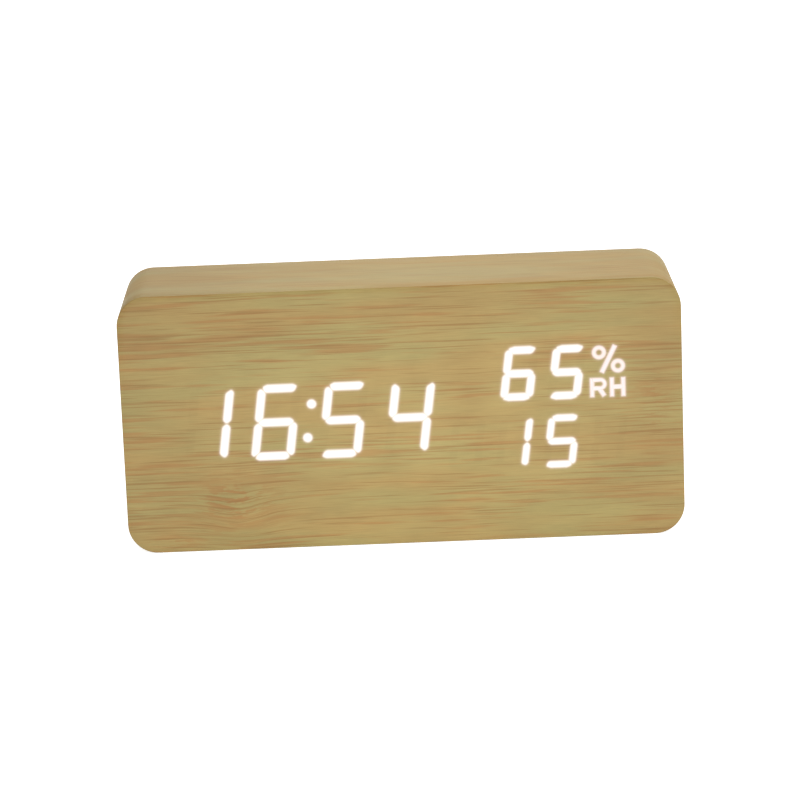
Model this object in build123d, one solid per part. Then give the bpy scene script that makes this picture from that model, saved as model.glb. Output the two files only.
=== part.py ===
from build123d import *
from math import cos, pi, sin
import os

# A block-shaped desk clock in wood-effect veneer. A light-emitting display shines through the front.
# X runs along the front, Y from front to back, Z up. The origin is the middle of the base.
# The fibreboard core is milled out from the back. A display module is screwed to its front wall,
# and a black moulded cover closes the back. The cover carries the battery bay, the three buttons
# and the control board.

# Case
case_width = 150.0
case_height = 70.5
case_depth = 40.0
case_corner_radius = 8.0
front_veneer_thickness = 0.5
wrap_veneer_thickness = 0.5
rear_veneer_thickness = 0.5
side_wall_thickness = 6.0
front_wall_thickness = 5.0
cavity_corner_radius = 14.0
rear_rim_width = 3.0
cut_overrun = 1.0

front_y = -case_depth / 2
rear_y = case_depth / 2
middle_z = case_height / 2
core_width = case_width - 2 * wrap_veneer_thickness
core_height = case_height - 2 * wrap_veneer_thickness
core_corner_radius = case_corner_radius - wrap_veneer_thickness
core_front_y = front_y + front_veneer_thickness
core_rear_y = rear_y - rear_veneer_thickness
cavity_width = core_width - 2 * side_wall_thickness
cavity_height = core_height - 2 * side_wall_thickness
cavity_floor_y = core_front_y + front_wall_thickness
rebate_width = core_width - 2 * rear_rim_width
rebate_height = core_height - 2 * rear_rim_width
rebate_corner_radius = core_corner_radius - rear_rim_width

# Rear cover plate
cover_thickness = 2.5
cover_inset = 1.0
cover_clearance = 0.25
cover_outer_y = rear_y - cover_inset
cover_inner_y = cover_outer_y - cover_thickness
cover_rib_depth = 4.0
cover_rib_thickness = 1.2
cover_rib_clearance = 0.3

# Cover screws, in the four corners where the milling leaves the core thick
cover_screw_inset = 1.5
cover_screw_shank_radius = 1.3
cover_screw_head_radius = 2.5
cover_screw_head_height = 0.9
cover_screw_length = 11.0
screw_clearance = 0.1
shank_sides = 8
cover_screw_x = cavity_width / 2 - cover_screw_inset
cover_screw_z = cavity_height / 2 - cover_screw_inset
cover_screw_tip_y = cover_outer_y - cover_screw_length
cover_screw_places = [(x * cover_screw_x, middle_z + z * cover_screw_z) for x in (-1, 1) for z in (-1, 1)]

# Display module
display_shift_x = 0.75
display_rise = 1.1
mask_side_margin = 12.75
mask_end_margin = 16.0
mask_corner_cut = 2.0
mask_window_clearance = 0.25
film_thickness = 0.2
film_inset = 0.2
mask_thickness = 10.0
display_board_side_margin = 2.75
display_board_end_margin = 6.75
board_thickness = 1.2
ear_width = 10.0
ear_height = 6.5
ear_inset = 12.25
ear_screw_rise = 3.5
display_centre_x = display_shift_x
display_centre_z = middle_z + display_rise
mask_width = case_width - 2 * mask_side_margin
mask_height = case_height - 2 * mask_end_margin
mask_front_y = core_front_y + film_thickness
mask_back_y = mask_front_y + mask_thickness
display_board_width = mask_width - 2 * display_board_side_margin
display_board_height = mask_height + 2 * display_board_end_margin
display_board_back_y = mask_back_y + board_thickness
ear_places = [
    (
        display_centre_x + side * (mask_width / 2 - ear_inset),
        display_centre_z - side * (mask_height / 2 + ear_screw_rise),
    )
    for side in (-1, 1)
]

display_screw_shank_radius = 1.1
display_screw_head_radius = 2.2
display_screw_head_height = 1.6
display_screw_length = 10.0
pilot_depth_allowance = 0.4

# Seven-segment digits, sheared to the right, as the slope that one unit of height adds to X.
# Places and sizes named share or shares are shares of the mask's width and height, from its centre.
digit_slant_share = 0.143
segment_gap = 0.3
well_back_share = 0.8
time_digit_half_shares = (0.03751, 0.24104)
time_digit_first_shares = (-0.42185, -0.0335)
time_digit_pitch_share = 0.143614
time_digit_stroke = 2.2
time_digit_chamfer = 1.9
time_digit_count = 4
small_digit_half_shares = (0.02723, 0.16519)
small_digit_pitch_share = 0.10201
small_digit_stroke = 2.05
small_digit_chamfer = 1.6
humidity_digit_first_shares = (0.24635, 0.24623)
humidity_digit_count = 2
temperature_digit_first_shares = (0.12996, -0.24545)
temperature_digit_count = 4
colon_radius = 1.35
colon_x_share = -0.20602
colon_half_spacing_share = 0.12
legend_x_share = 0.43735
legend_width_share = 0.0771
percent_z_share = 0.32597
percent_height_share = 0.21818
unit_z_share = 0.12597
unit_height_share = 0.15584

# Chips on the display board
led_length = 1.6
led_width = 0.8
led_height = 0.6
legend_lamp_share = 0.25
driver_length = 15.4
driver_width = 7.5
driver_height = 1.8
driver_x_shares = (-0.086, 0.267)
header_length = 14.0
header_width = 5.0
header_height = 4.0

# Battery bay, for three cells lying side by side
cell_radius = 5.2
cell_body_length = 43.7
cell_nub_radius = 1.9
cell_nub_length = 0.8
cell_floor_clearance = 0.1
cell_lid_clearance = 0.2
cell_count = 3
cell_side_gap = 0.933
bay_side_gap = 10.0
bay_wall = 2.0
bay_floor_thickness = 1.5
cradle_thickness = 0.9
cradle_height = 3.6
cradle_length = 30.0
contact_thickness = 0.4
contact_width = 9.4
contact_height = 9.6
tag_width = 2.6
tag_clearance = 0.2
tag_reach = 1.7
post_thickness = 0.6
post_height = 8.0
post_overlap = 0.6
post_clearance = 0.1
spring_wire_radius = 0.3
spring_base_radius = 3.4
spring_tip_radius = 2.0
spring_turns = 3
spring_steps_per_turn = 10
spring_room = 5.7
spring_end_clearance = 0.05
door_thickness = 2.0
press_rib_height = 0.8
press_rib_thickness = 1.0
press_rib_length = 26.0
door_inner_y = cover_outer_y - door_thickness
cell_pitch = 2 * cell_radius + cell_side_gap
cell_length = cell_body_length + cell_nub_length
cell_axis_y = door_inner_y - press_rib_height - cell_lid_clearance - cell_radius
bay_length = cell_length + 2 * contact_thickness + spring_room
bay_height = cell_count * cell_pitch
bay_high_x = cavity_width / 2 - bay_side_gap
bay_low_x = bay_high_x - bay_length
bay_centre_x = (bay_low_x + bay_high_x) / 2
bay_low_z = middle_z - bay_height / 2
bay_high_z = middle_z + bay_height / 2
bay_floor_y = cell_axis_y - cell_radius - cell_floor_clearance
tag_low_y = bay_floor_y - bay_floor_thickness - tag_reach
cell_rows = [bay_low_z + (row + 1 / 2) * cell_pitch for row in range(cell_count)]

# Battery door, with two hook tabs along its lower edge and a sprung latch on its upper edge
door_ledge = 2.0
door_clearance = 0.25
door_corner_radius = 1.5
recess_width = bay_length + 2 * door_ledge
recess_low_z = bay_low_z - door_ledge
recess_high_z = bay_high_z + door_ledge
door_low_z = recess_low_z + door_clearance
door_high_z = recess_high_z - door_clearance
tab_width = 6.0
tab_spacing = 36.0
tab_leg_thickness = 1.2
tab_foot_thickness = 1.2
tab_reach = 1.9
tab_clearance = 0.1
tab_side_clearance = 0.3
tab_swing_clearance = 0.8
tab_foot_high_y = cover_inner_y - tab_clearance
tab_foot_low_y = tab_foot_high_y - tab_foot_thickness
tab_places = [bay_centre_x + side * tab_spacing / 2 for side in (-1, 1)]
latch_width = 12.0
latch_side_clearance = 0.4
latch_window_height = 4.05
latch_strip = 1.0
latch_bend_radius = 0.55
latch_depth = 4.6
latch_wall_clearance = 0.35
latch_pad_thickness = 1.5
latch_pad_height = 1.3
latch_pad_drop = 0.1
latch_nib_reach = 0.45
latch_nib_height = 0.9
latch_nib_drop = 0.2
latch_window_high_z = recess_high_z + latch_window_height
latch_low_y = door_inner_y - latch_depth
grip_groove_width = 0.8
grip_groove_depth = 0.4
grip_groove_length = 12.0
grip_groove_count = 3
grip_groove_pitch = 1.8
grip_groove_edge = 2.4

# Control board. What it carries is placed by shares of its width and height, from its lower left corner.
control_board_side_gap = 8.5
control_board_bay_gap = 4.5
control_board_end_gap = 7.75
control_board_low_x = -cavity_width / 2 + control_board_side_gap
control_board_high_x = bay_low_x - bay_wall - control_board_bay_gap
control_board_width = control_board_high_x - control_board_low_x
control_board_height = cavity_height - 2 * control_board_end_gap
control_board_middle_x = control_board_low_x + control_board_width / 2
control_board_low_z = middle_z - control_board_height / 2
control_board_high_z = middle_z + control_board_height / 2
board_post_side = 4.0
board_post_inset = 0.5
board_arm_thickness = 1.3
board_arm_width = 6.0
board_arm_clearance = 0.15
board_hook_reach = 0.9
board_hook_height = 1.4

# Buttons
button_names = ["set", "up", "down"]
button_pitch_share = 0.2295
button_z_share = 0.8
button_radius = 3.0
button_proud = 0.8
button_hole_clearance = 0.2
button_flange_side = 7.6
button_flange_thickness = 1.0
button_flange_clearance = 0.1
switch_side = 6.0
switch_body_height = 3.5
switch_total_height = 6.0
plunger_side = 3.0
plunger_hole_clearance = 0.1
plunger_depth = 1.4
plunger_free_depth = 0.6
button_pitch = button_pitch_share * control_board_width
button_z = control_board_low_z + button_z_share * control_board_height
button_places = [
    (name, control_board_middle_x + (1 - i) * button_pitch) for i, name in enumerate(button_names)
]
button_flange_high_y = cover_inner_y - button_flange_clearance
button_flange_low_y = button_flange_high_y - button_flange_thickness

# The control board stands where the switches' pins just reach the buttons
control_board_rear_y = button_flange_low_y - switch_total_height
control_board_front_y = control_board_rear_y - board_thickness
plunger_length = switch_total_height - switch_body_height + plunger_depth

# Power socket
socket_x = control_board_middle_x - button_pitch
socket_z_share = 0.18
socket_z = control_board_low_z + socket_z_share * control_board_height
socket_shell_width = 7.5
socket_shell_height = 2.5
socket_shell_wall = 0.3
socket_shell_chamfer = 0.7
socket_inset = 0.4
socket_tongue_width = 4.6
socket_tongue_thickness = 0.6
socket_tongue_rise = 0.35
socket_tongue_inset = 1.2
socket_base_depth = 2.0
socket_opening_clearance = 0.4
socket_face_y = cover_outer_y - socket_inset

# Sounder, microphone and climate sensor
sounder_x = control_board_middle_x + button_pitch
sounder_z_share = 0.25
sounder_z = control_board_low_z + sounder_z_share * control_board_height
sounder_radius = 4.8
sounder_height = 5.9
sound_slot_length = 7.0
sound_slot_width = 1.2
sound_slot_pitch = 2.4
sound_slot_count = 3
microphone_x = control_board_middle_x
microphone_z = socket_z
microphone_radius = 3.0
microphone_height = 2.7
microphone_hole_radius = 0.8
sensor_x_share = 0.41
sensor_z_share = 0.49
sensor_x = control_board_low_x + sensor_x_share * control_board_width
sensor_z = control_board_low_z + sensor_z_share * control_board_height
sensor_width = 12.6
sensor_height = 9.6
sensor_depth = 5.5
sensor_slot_count = 4
sensor_slot_width = 0.9
sensor_slot_depth = 0.8
sensor_slot_pitch = 2.0
sensor_slot_edge = 1.6
vent_length = 13.0
vent_width = 1.4
vent_count = 4
vent_pitch = 2.7

# Parts on the inner side of the control board
chip_x_share = 0.59
chip_z_share = 0.6
chip_x = control_board_low_x + chip_x_share * control_board_width
chip_z = control_board_low_z + chip_z_share * control_board_height
chip_length = 12.0
chip_width = 7.5
chip_height = 1.8
chip_edge = 0.3
crystal_z_share = 0.43
crystal_z = control_board_low_z + crystal_z_share * control_board_height
crystal_length = 6.0
crystal_width = 2.4
crystal_height = 1.6
capacitor_radius = 2.5
capacitor_height = 5.5
capacitor_x_share = 0.16
capacitor_x = control_board_low_x + capacitor_x_share * control_board_width

# Flat ribbon between the boards
ribbon_width = 10.0
ribbon_thickness = 0.4
ribbon_bend_share = 0.24
ribbon_slot_clearance = 0.15
ribbon_x_share = 0.36
display_header_z_share = 0.77
control_header_z_share = 0.23
ribbon_x = control_board_low_x + ribbon_x_share * control_board_width
display_header_z = control_board_low_z + display_header_z_share * control_board_height
control_header_z = control_board_low_z + control_header_z_share * control_board_height

# Battery leads
lead_radius = 0.65
lead_sides = 8
lead_clearance = 0.15
lead_y = bay_floor_y - bay_floor_thickness - lead_clearance - lead_radius
terminal_length = 4.0
terminal_width = 5.0
terminal_inset = 2.0
terminal_cover = 1.1
terminal_high_x = control_board_high_x - terminal_inset


def slab(outline, y_low, y_high):
    """Solid of an outline drawn in the front view, between two depths."""
    return extrude(Plane.XZ.offset(-y_high) * outline, y_high - y_low)


def rounded_slab(width, height, radius, y_low, y_high, x=0, z=middle_z):
    """Rounded rectangle centred on x and z, between two depths."""
    return slab(Pos(x, z) * RectangleRounded(width, height, radius), y_low, y_high)


def disc(radius, y_low, y_high, x, z):
    """Round solid along the depth of the clock."""
    return slab(Pos(x, z) * Circle(radius), y_low, y_high)


def block(x_low, x_high, y_low, y_high, z_low, z_high):
    """Box between two corners."""
    middle = Pos((x_low + x_high) / 2, (y_low + y_high) / 2, (z_low + z_high) / 2)
    return middle * Box(x_high - x_low, y_high - y_low, z_high - z_low)


def side_slab(outline, x_low, x_high):
    """Solid of an outline drawn in the side view, as depth and height, between two widths."""
    return extrude(Plane.YZ.offset(x_low) * outline, x_high - x_low)


def shank(radius, y_low, y_high, x, z):
    """Screw shank or its pilot hole, with few sides."""
    return slab(Pos(x, z) * RegularPolygon(radius, shank_sides), y_low, y_high)


def pan_screw(x, z, seat_y, tip_y, shank_radius, head_radius, head_height):
    """Screw with a raised round head, driven towards the front of the clock."""
    head = disc(head_radius, seat_y, seat_y + head_height, x, z)
    return head + shank(shank_radius, tip_y, seat_y, x, z)


def chamfered_slab(width, height, cut, y_low, y_high, x, z):
    """Rectangle with cut corners, centred on x and z, between two depths."""
    outline = chamfer(Rectangle(width, height).vertices(), cut)
    return slab(Pos(x, z) * outline, y_low, y_high)


# Digits. A segment is named by its usual letter: a top, b and c right, d bottom, e and f left, g middle.
SEGMENTS = "abcdefg"


def segment_points(letter, half_width, half_height, stroke, corner_chamfer):
    """Outline of one segment, counter-clockwise, round an upright digit centred on zero."""
    half = stroke / 2
    inner, outer = half_width - half, half_width + half
    low, high = half_height - half, half_height + half
    mitre = corner_chamfer / 2
    gap = segment_gap / 2
    top = [
        (inner - gap, low),
        (outer - mitre - gap, high - mitre),
        (outer - corner_chamfer - gap, high),
        (-outer + corner_chamfer + gap, high),
        (-outer + mitre + gap, high - mitre),
        (-inner + gap, low),
    ]
    upper_left = [
        (-inner, low - gap),
        (-outer + mitre, high - mitre - gap),
        (-outer, high - corner_chamfer - gap),
        (-outer, half + gap),
        (-half_width, gap),
        (-inner, half + gap),
    ]
    middle = [
        (-half_width + gap, 0),
        (-inner + gap, -half),
        (inner - gap, -half),
        (half_width - gap, 0),
        (inner - gap, half),
        (-inner + gap, half),
    ]
    shapes = {
        "a": (top, 1, 1),
        "b": (upper_left, -1, 1),
        "c": (upper_left, -1, -1),
        "d": (top, 1, -1),
        "e": (upper_left, 1, -1),
        "f": (upper_left, 1, 1),
        "g": (middle, 1, 1),
    }
    points, across, up = shapes[letter]
    mirrored = across != up
    return [(across * x, up * z) for x, z in (reversed(points) if mirrored else points)]


def segment_ends(letter, half_width, half_height):
    """Two ends of a segment's centre line, round an upright digit centred on zero."""
    left, right, top, bottom = -half_width, half_width, half_height, -half_height
    return {
        "a": ((left, top), (right, top)),
        "b": ((right, top), (right, 0)),
        "c": ((right, 0), (right, bottom)),
        "d": ((left, bottom), (right, bottom)),
        "e": ((left, 0), (left, bottom)),
        "f": ((left, top), (left, 0)),
        "g": ((left, 0), (right, 0)),
    }[letter]


def slanted(point, x, z):
    """Place of a digit's point once the digit is sheared and centred on x and z."""
    return (x + point[0] + digit_slant_share * point[1], z + point[1])


def on_mask(shares):
    """Place on the mask, from shares of its width and height."""
    return display_centre_x + shares[0] * mask_width, display_centre_z + shares[1] * mask_height


def digit_style(half_shares, stroke, corner_chamfer):
    """Half width, half height, stroke and corner chamfer of one size of digit."""
    return half_shares[0] * mask_width, half_shares[1] * mask_height, stroke, corner_chamfer


time_style = digit_style(time_digit_half_shares, time_digit_stroke, time_digit_chamfer)
small_style = digit_style(small_digit_half_shares, small_digit_stroke, small_digit_chamfer)


def digit_places():
    """Style and centre of each digit that the display has, lit or not."""
    groups = (
        (time_style, time_digit_first_shares, time_digit_pitch_share, time_digit_count),
        (small_style, humidity_digit_first_shares, small_digit_pitch_share, humidity_digit_count),
        (small_style, temperature_digit_first_shares, small_digit_pitch_share, temperature_digit_count),
    )
    return [
        (style, *on_mask((first[0] + i * pitch_share, first[1])))
        for style, first, pitch_share, count in groups
        for i in range(count)
    ]


def colon_places():
    """Centres of the two dots between hours and minutes."""
    x, z = on_mask((colon_x_share, time_digit_first_shares[1]))
    half_spacing = colon_half_spacing_share * mask_height
    return [slanted((0, up * half_spacing), x, z) for up in (-1, 1)]


def legend_places():
    """Centre and height of the wells of the per cent sign and of the unit."""
    legends = ((percent_z_share, percent_height_share), (unit_z_share, unit_height_share))
    return [(*on_mask((legend_x_share, z)), height * mask_height) for z, height in legends]


def tapered_well(points):
    """Reflector well: full size at the front of the mask, a little smaller where the lamp sits."""
    middle_x = sum(x for x, z in points) / len(points)
    middle_height = sum(z for x, z in points) / len(points)
    front = [(x, mask_front_y, z) for x, z in points]
    back = [
        (
            middle_x + well_back_share * (x - middle_x),
            mask_back_y,
            middle_height + well_back_share * (z - middle_height),
        )
        for x, z in points
    ]
    walls = [(front[i - 1], front[i], back[i], back[i - 1]) for i in range(len(points))]
    return Solid(Shell([Face(Wire.make_polygon(corners)) for corners in (front, back, *walls)]))


def case_body():
    """Fibreboard core, milled out from the back, with a window for the display."""
    core = rounded_slab(core_width, core_height, core_corner_radius, core_front_y, core_rear_y)
    cavity = rounded_slab(
        cavity_width, cavity_height, cavity_corner_radius, cavity_floor_y, core_rear_y + cut_overrun
    )
    rebate = rounded_slab(
        rebate_width, rebate_height, rebate_corner_radius, cover_inner_y, core_rear_y + cut_overrun
    )
    window = chamfered_slab(
        mask_width + 2 * mask_window_clearance,
        mask_height + 2 * mask_window_clearance,
        mask_corner_cut,
        core_front_y - cut_overrun,
        cavity_floor_y + cut_overrun,
        display_centre_x,
        display_centre_z,
    )
    cover_pilots = [
        shank(
            cover_screw_shank_radius + screw_clearance / 2,
            cover_screw_tip_y - pilot_depth_allowance,
            cover_inner_y + cut_overrun,
            x,
            z,
        )
        for x, z in cover_screw_places
    ]
    display_pilots = [
        shank(
            display_screw_shank_radius + screw_clearance / 2,
            display_board_back_y - display_screw_length - pilot_depth_allowance,
            cavity_floor_y + cut_overrun,
            x,
            z,
        )
        for x, z in ear_places
    ]
    return core - cavity - rebate - window - cover_pilots - display_pilots


def front_veneer():
    """Thin sheet that covers the whole front, so the display is hidden until it lights."""
    return rounded_slab(case_width, case_height, case_corner_radius, front_y, core_front_y)


def base_strip():
    """Flat stretch under the case where the wrapped veneer leaves off."""
    half_length = case_width / 2 - case_corner_radius
    return block(-half_length, half_length, core_front_y, core_rear_y, 0, wrap_veneer_thickness)


def side_veneer():
    """Veneer bent round the left side, the top and the right side."""
    outer = rounded_slab(case_width, case_height, case_corner_radius, core_front_y, core_rear_y)
    inner = rounded_slab(
        core_width, core_height, core_corner_radius, core_front_y - cut_overrun, core_rear_y + cut_overrun
    )
    return outer - inner - base_strip()


def rear_veneer():
    """Flat veneer frame on the rim of the core, round the cover."""
    frame = rounded_slab(case_width, case_height, case_corner_radius, core_rear_y, rear_y)
    opening = rounded_slab(
        rebate_width, rebate_height, rebate_corner_radius, core_rear_y - cut_overrun, rear_y + cut_overrun
    )
    return frame - opening


def legend_film():
    """Printed diffusing film between the veneer and the mask."""
    return chamfered_slab(
        mask_width - 2 * film_inset,
        mask_height - 2 * film_inset,
        mask_corner_cut,
        core_front_y,
        mask_front_y,
        display_centre_x,
        display_centre_z,
    )


def segment_mask():
    """White reflector block with one tapered well for each segment, dot and legend."""
    nose = chamfered_slab(
        mask_width,
        mask_height,
        mask_corner_cut,
        mask_front_y,
        mask_back_y,
        display_centre_x,
        display_centre_z,
    )
    ears = [
        block(
            x - ear_width / 2,
            x + ear_width / 2,
            cavity_floor_y,
            mask_back_y,
            min(z, display_centre_z) - (ear_height - ear_screw_rise if z < display_centre_z else 0),
            max(z, display_centre_z) + (ear_height - ear_screw_rise if z > display_centre_z else 0),
        )
        for x, z in ear_places
    ]
    wells = [
        tapered_well([slanted(point, x, z) for point in segment_points(letter, *style)])
        for style, x, z in digit_places()
        for letter in SEGMENTS
    ]
    dots = [
        disc(colon_radius, mask_front_y - cut_overrun, mask_back_y + cut_overrun, x, z)
        for x, z in colon_places()
    ]
    legend_half_width = legend_width_share * mask_width / 2
    legends = [
        block(
            x - legend_half_width,
            x + legend_half_width,
            mask_front_y - cut_overrun,
            mask_back_y + cut_overrun,
            z - height / 2,
            z + height / 2,
        )
        for x, z, height in legend_places()
    ]
    ear_holes = [
        disc(
            display_screw_shank_radius + screw_clearance,
            cavity_floor_y - cut_overrun,
            mask_back_y + cut_overrun,
            x,
            z,
        )
        for x, z in ear_places
    ]
    return nose + ears - wells - dots - legends - ear_holes


def display_board():
    """Circuit board behind the mask."""
    board = block(
        display_centre_x - display_board_width / 2,
        display_centre_x + display_board_width / 2,
        mask_back_y,
        display_board_back_y,
        display_centre_z - display_board_height / 2,
        display_centre_z + display_board_height / 2,
    )
    holes = [
        disc(
            display_screw_shank_radius + screw_clearance,
            mask_back_y - cut_overrun,
            display_board_back_y + cut_overrun,
            x,
            z,
        )
        for x, z in ear_places
    ]
    return board - holes


def lamp(x, z, upright):
    """One light-emitting chip on the front of the display board."""
    half_x, half_z = (led_width / 2, led_length / 2) if upright else (led_length / 2, led_width / 2)
    return block(x - half_x, x + half_x, mask_back_y - led_height, mask_back_y, z - half_z, z + half_z)


def led_chips():
    """One lamp in each segment and dot, and two for each legend."""
    chips = []
    for style, x, z in digit_places():
        for letter in SEGMENTS:
            start, end = segment_ends(letter, style[0], style[1])
            middle = ((start[0] + end[0]) / 2, (start[1] + end[1]) / 2)
            chips.append(lamp(*slanted(middle, x, z), start[0] == end[0]))
    chips += [lamp(x, z, True) for x, z in colon_places()]
    lamp_offset = legend_lamp_share * legend_width_share * mask_width
    chips += [lamp(x + side * lamp_offset, z, True) for x, z, height in legend_places() for side in (-1, 1)]
    return Compound(chips)


def driver_chips():
    """Two display drivers on the back of the display board."""
    return Compound(
        [
            block(
                x - driver_length / 2,
                x + driver_length / 2,
                display_board_back_y,
                display_board_back_y + driver_height,
                z - driver_width / 2,
                z + driver_width / 2,
            )
            for x, z in (on_mask((share, 0)) for share in driver_x_shares)
        ]
    )


def header(z, y_low, y_high, ribbon_low_y):
    """White ribbon connector with a slot where the ribbon goes in."""
    body = block(
        ribbon_x - header_length / 2,
        ribbon_x + header_length / 2,
        y_low,
        y_high,
        z - header_width / 2,
        z + header_width / 2,
    )
    slot = block(
        ribbon_x - ribbon_width / 2 - ribbon_slot_clearance,
        ribbon_x + ribbon_width / 2 + ribbon_slot_clearance,
        ribbon_low_y,
        ribbon_low_y + header_height / 2,
        z - ribbon_thickness / 2 - ribbon_slot_clearance,
        z + ribbon_thickness / 2 + ribbon_slot_clearance,
    )
    return body - slot


def display_header():
    """Ribbon connector on the display board."""
    top_y = display_board_back_y + header_height
    return header(display_header_z, display_board_back_y, top_y, top_y - header_height / 2)


def control_header():
    """Ribbon connector on the control board."""
    low_y = control_board_front_y - header_height
    return header(control_header_z, low_y, control_board_front_y, low_y)


def ribbon_cable():
    """Flat ribbon: out of one connector, down, and into the other."""
    start_y = display_board_back_y + header_height / 2
    end_y = control_board_front_y - header_height / 2
    drop_y = (start_y + end_y) / 2
    path = FilletPolyline(
        (start_y, display_header_z),
        (drop_y, display_header_z),
        (drop_y, control_header_z),
        (end_y, control_header_z),
        radius=ribbon_bend_share * (end_y - start_y),
    )
    start = Plane(origin=(start_y, display_header_z, 0), x_dir=(0, 1, 0), z_dir=(1, 0, 0))
    return Plane.YZ.offset(ribbon_x) * sweep(start * Rectangle(ribbon_thickness, ribbon_width), path)


def display_screws():
    """Two screws through the display board and the mask's ears into the core."""
    return Compound(
        [
            pan_screw(
                x,
                z,
                display_board_back_y,
                display_board_back_y - display_screw_length,
                display_screw_shank_radius,
                display_screw_head_radius,
                display_screw_head_height,
            )
            for x, z in ear_places
        ]
    )


def contact_row_z(first, last):
    """Lowest and highest Z of a contact plate that serves these cell rows."""
    return cell_rows[first] - contact_width / 2, cell_rows[last] + contact_width / 2


def contact_plate(at_high_end, first, last, wired):
    """Sprung-steel plate at one end of the bay. A wired one has a tag that goes through the floor."""
    x_low = bay_high_x - contact_thickness if at_high_end else bay_low_x
    x_high = x_low + contact_thickness
    z_low, z_high = contact_row_z(first, last)
    plate = block(x_low, x_high, bay_floor_y, bay_floor_y + contact_height, z_low, z_high)
    if not wired:
        return plate
    tag_z = cell_rows[first]
    return plate + block(
        x_low, x_high, tag_low_y, bay_floor_y, tag_z - tag_width / 2, tag_z + tag_width / 2
    )


def negative_contact():
    """Plate under the spring where the pack's negative lead is soldered."""
    return contact_plate(False, 0, 0, True)


def positive_contact():
    """Plate where the pack's positive lead is soldered."""
    return contact_plate(True, cell_count - 1, cell_count - 1, True)


def low_link_contact():
    """Plate that joins the second and third cells."""
    return contact_plate(False, cell_count - 2, cell_count - 1, False)


def high_link_contact():
    """Plate that joins the first and second cells."""
    return contact_plate(True, 0, cell_count - 2, False)


def cell_direction(row):
    """Way that a cell's raised end points, along X. The cells lie head to tail."""
    return 1 if row % 2 == 0 else -1


def battery_cell(row):
    """One dry cell with its raised end, pressed by its spring against the far plate."""
    direction = cell_direction(row)
    button_x = bay_high_x - contact_thickness if direction > 0 else bay_low_x + contact_thickness
    side = Plane(
        origin=(button_x, cell_axis_y, cell_rows[row]), x_dir=(0, 1, 0), z_dir=(-direction, 0, 0)
    )
    raised = extrude(side * Circle(cell_nub_radius), cell_nub_length)
    body = extrude(side.offset(cell_nub_length) * Circle(cell_radius), cell_body_length)
    return raised + body


def spring_coil(rise):
    """Coil that narrows as it climbs, as a square wire bent in short straight steps."""
    steps = spring_turns * spring_steps_per_turn
    points = []
    for step in range(steps + 1):
        angle = 2 * pi * step / spring_steps_per_turn
        radius = spring_base_radius + (spring_tip_radius - spring_base_radius) * step / steps
        points.append((radius * cos(angle), radius * sin(angle), rise * step / steps))
    path = Polyline(*points)
    wire_width = 2 * spring_wire_radius
    section = Plane(origin=path @ 0, z_dir=path % 0) * Rectangle(wire_width, wire_width)
    return sweep(section, path, transition=Transition.RIGHT)


def battery_springs():
    """Coil springs at the flat ends of the cells, wide at the plate and narrow at the cell."""
    wire_gap = 2 * spring_wire_radius + spring_end_clearance
    plate_gap = contact_thickness + wire_gap
    coil = spring_coil(bay_length - cell_length - plate_gap - contact_thickness - wire_gap)
    springs = []
    for row in range(cell_count):
        direction = cell_direction(row)
        start_x = bay_low_x + plate_gap if direction > 0 else bay_high_x - plate_gap
        place = Plane(
            origin=(start_x, cell_axis_y, cell_rows[row]), x_dir=(0, 1, 0), z_dir=(direction, 0, 0)
        )
        springs.append(place * coil)
    return Compound(springs)


def lead(start_x, z):
    """Insulated wire from a contact's tag, under the bay, to its terminal on the control board."""
    side = Plane(origin=(terminal_high_x, lead_y, z), x_dir=(0, 1, 0), z_dir=(1, 0, 0))
    return extrude(side * RegularPolygon(lead_radius, lead_sides), start_x - terminal_high_x)


def lead_terminals():
    """Two blocks on the control board that take the ends of the battery leads."""
    return Compound(
        [
            block(
                terminal_high_x - terminal_length,
                terminal_high_x,
                lead_y - terminal_cover,
                control_board_front_y,
                z - terminal_width / 2,
                z + terminal_width / 2,
            )
            for z in (cell_rows[0], cell_rows[-1])
        ]
    )


def black_lead():
    """Negative lead."""
    return lead(bay_low_x, cell_rows[0])


def red_lead():
    """Positive lead."""
    return lead(bay_high_x - contact_thickness, cell_rows[-1])


def bay_tub():
    """Outside of the battery bay, before it is hollowed."""
    return block(
        bay_low_x - bay_wall,
        bay_high_x + bay_wall,
        bay_floor_y - bay_floor_thickness,
        cover_outer_y,
        bay_low_z - bay_wall,
        bay_high_z + bay_wall,
    )


def bay_hollows():
    """Cuts for the battery bay, the door's seat, its tabs and its latch."""
    hollow = block(
        bay_low_x, bay_high_x, bay_floor_y, cover_outer_y + cut_overrun, bay_low_z, bay_high_z
    )
    seat = rounded_slab(
        recess_width,
        recess_high_z - recess_low_z,
        door_corner_radius + door_clearance,
        door_inner_y,
        cover_outer_y + cut_overrun,
        bay_centre_x,
    )
    notches = [
        block(
            x - tab_width / 2 - tab_side_clearance,
            x + tab_width / 2 + tab_side_clearance,
            tab_foot_low_y - tab_swing_clearance,
            door_inner_y + cut_overrun,
            recess_low_z,
            bay_low_z + cut_overrun,
        )
        for x in tab_places
    ]
    latch_half = latch_width / 2 + latch_side_clearance
    latch_window = block(
        bay_centre_x - latch_half,
        bay_centre_x + latch_half,
        cover_inner_y - cut_overrun,
        cover_outer_y + cut_overrun,
        recess_high_z,
        latch_window_high_z,
    )
    tag_slots = [
        block(
            x_low,
            x_low + contact_thickness,
            bay_floor_y - bay_floor_thickness - cut_overrun,
            bay_floor_y + cut_overrun,
            z - tag_width / 2 - tag_clearance,
            z + tag_width / 2 + tag_clearance,
        )
        for x_low, z in (
            (bay_low_x, cell_rows[0]),
            (bay_high_x - contact_thickness, cell_rows[-1]),
        )
    ]
    return [hollow, seat, latch_window, *notches, *tag_slots]


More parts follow.
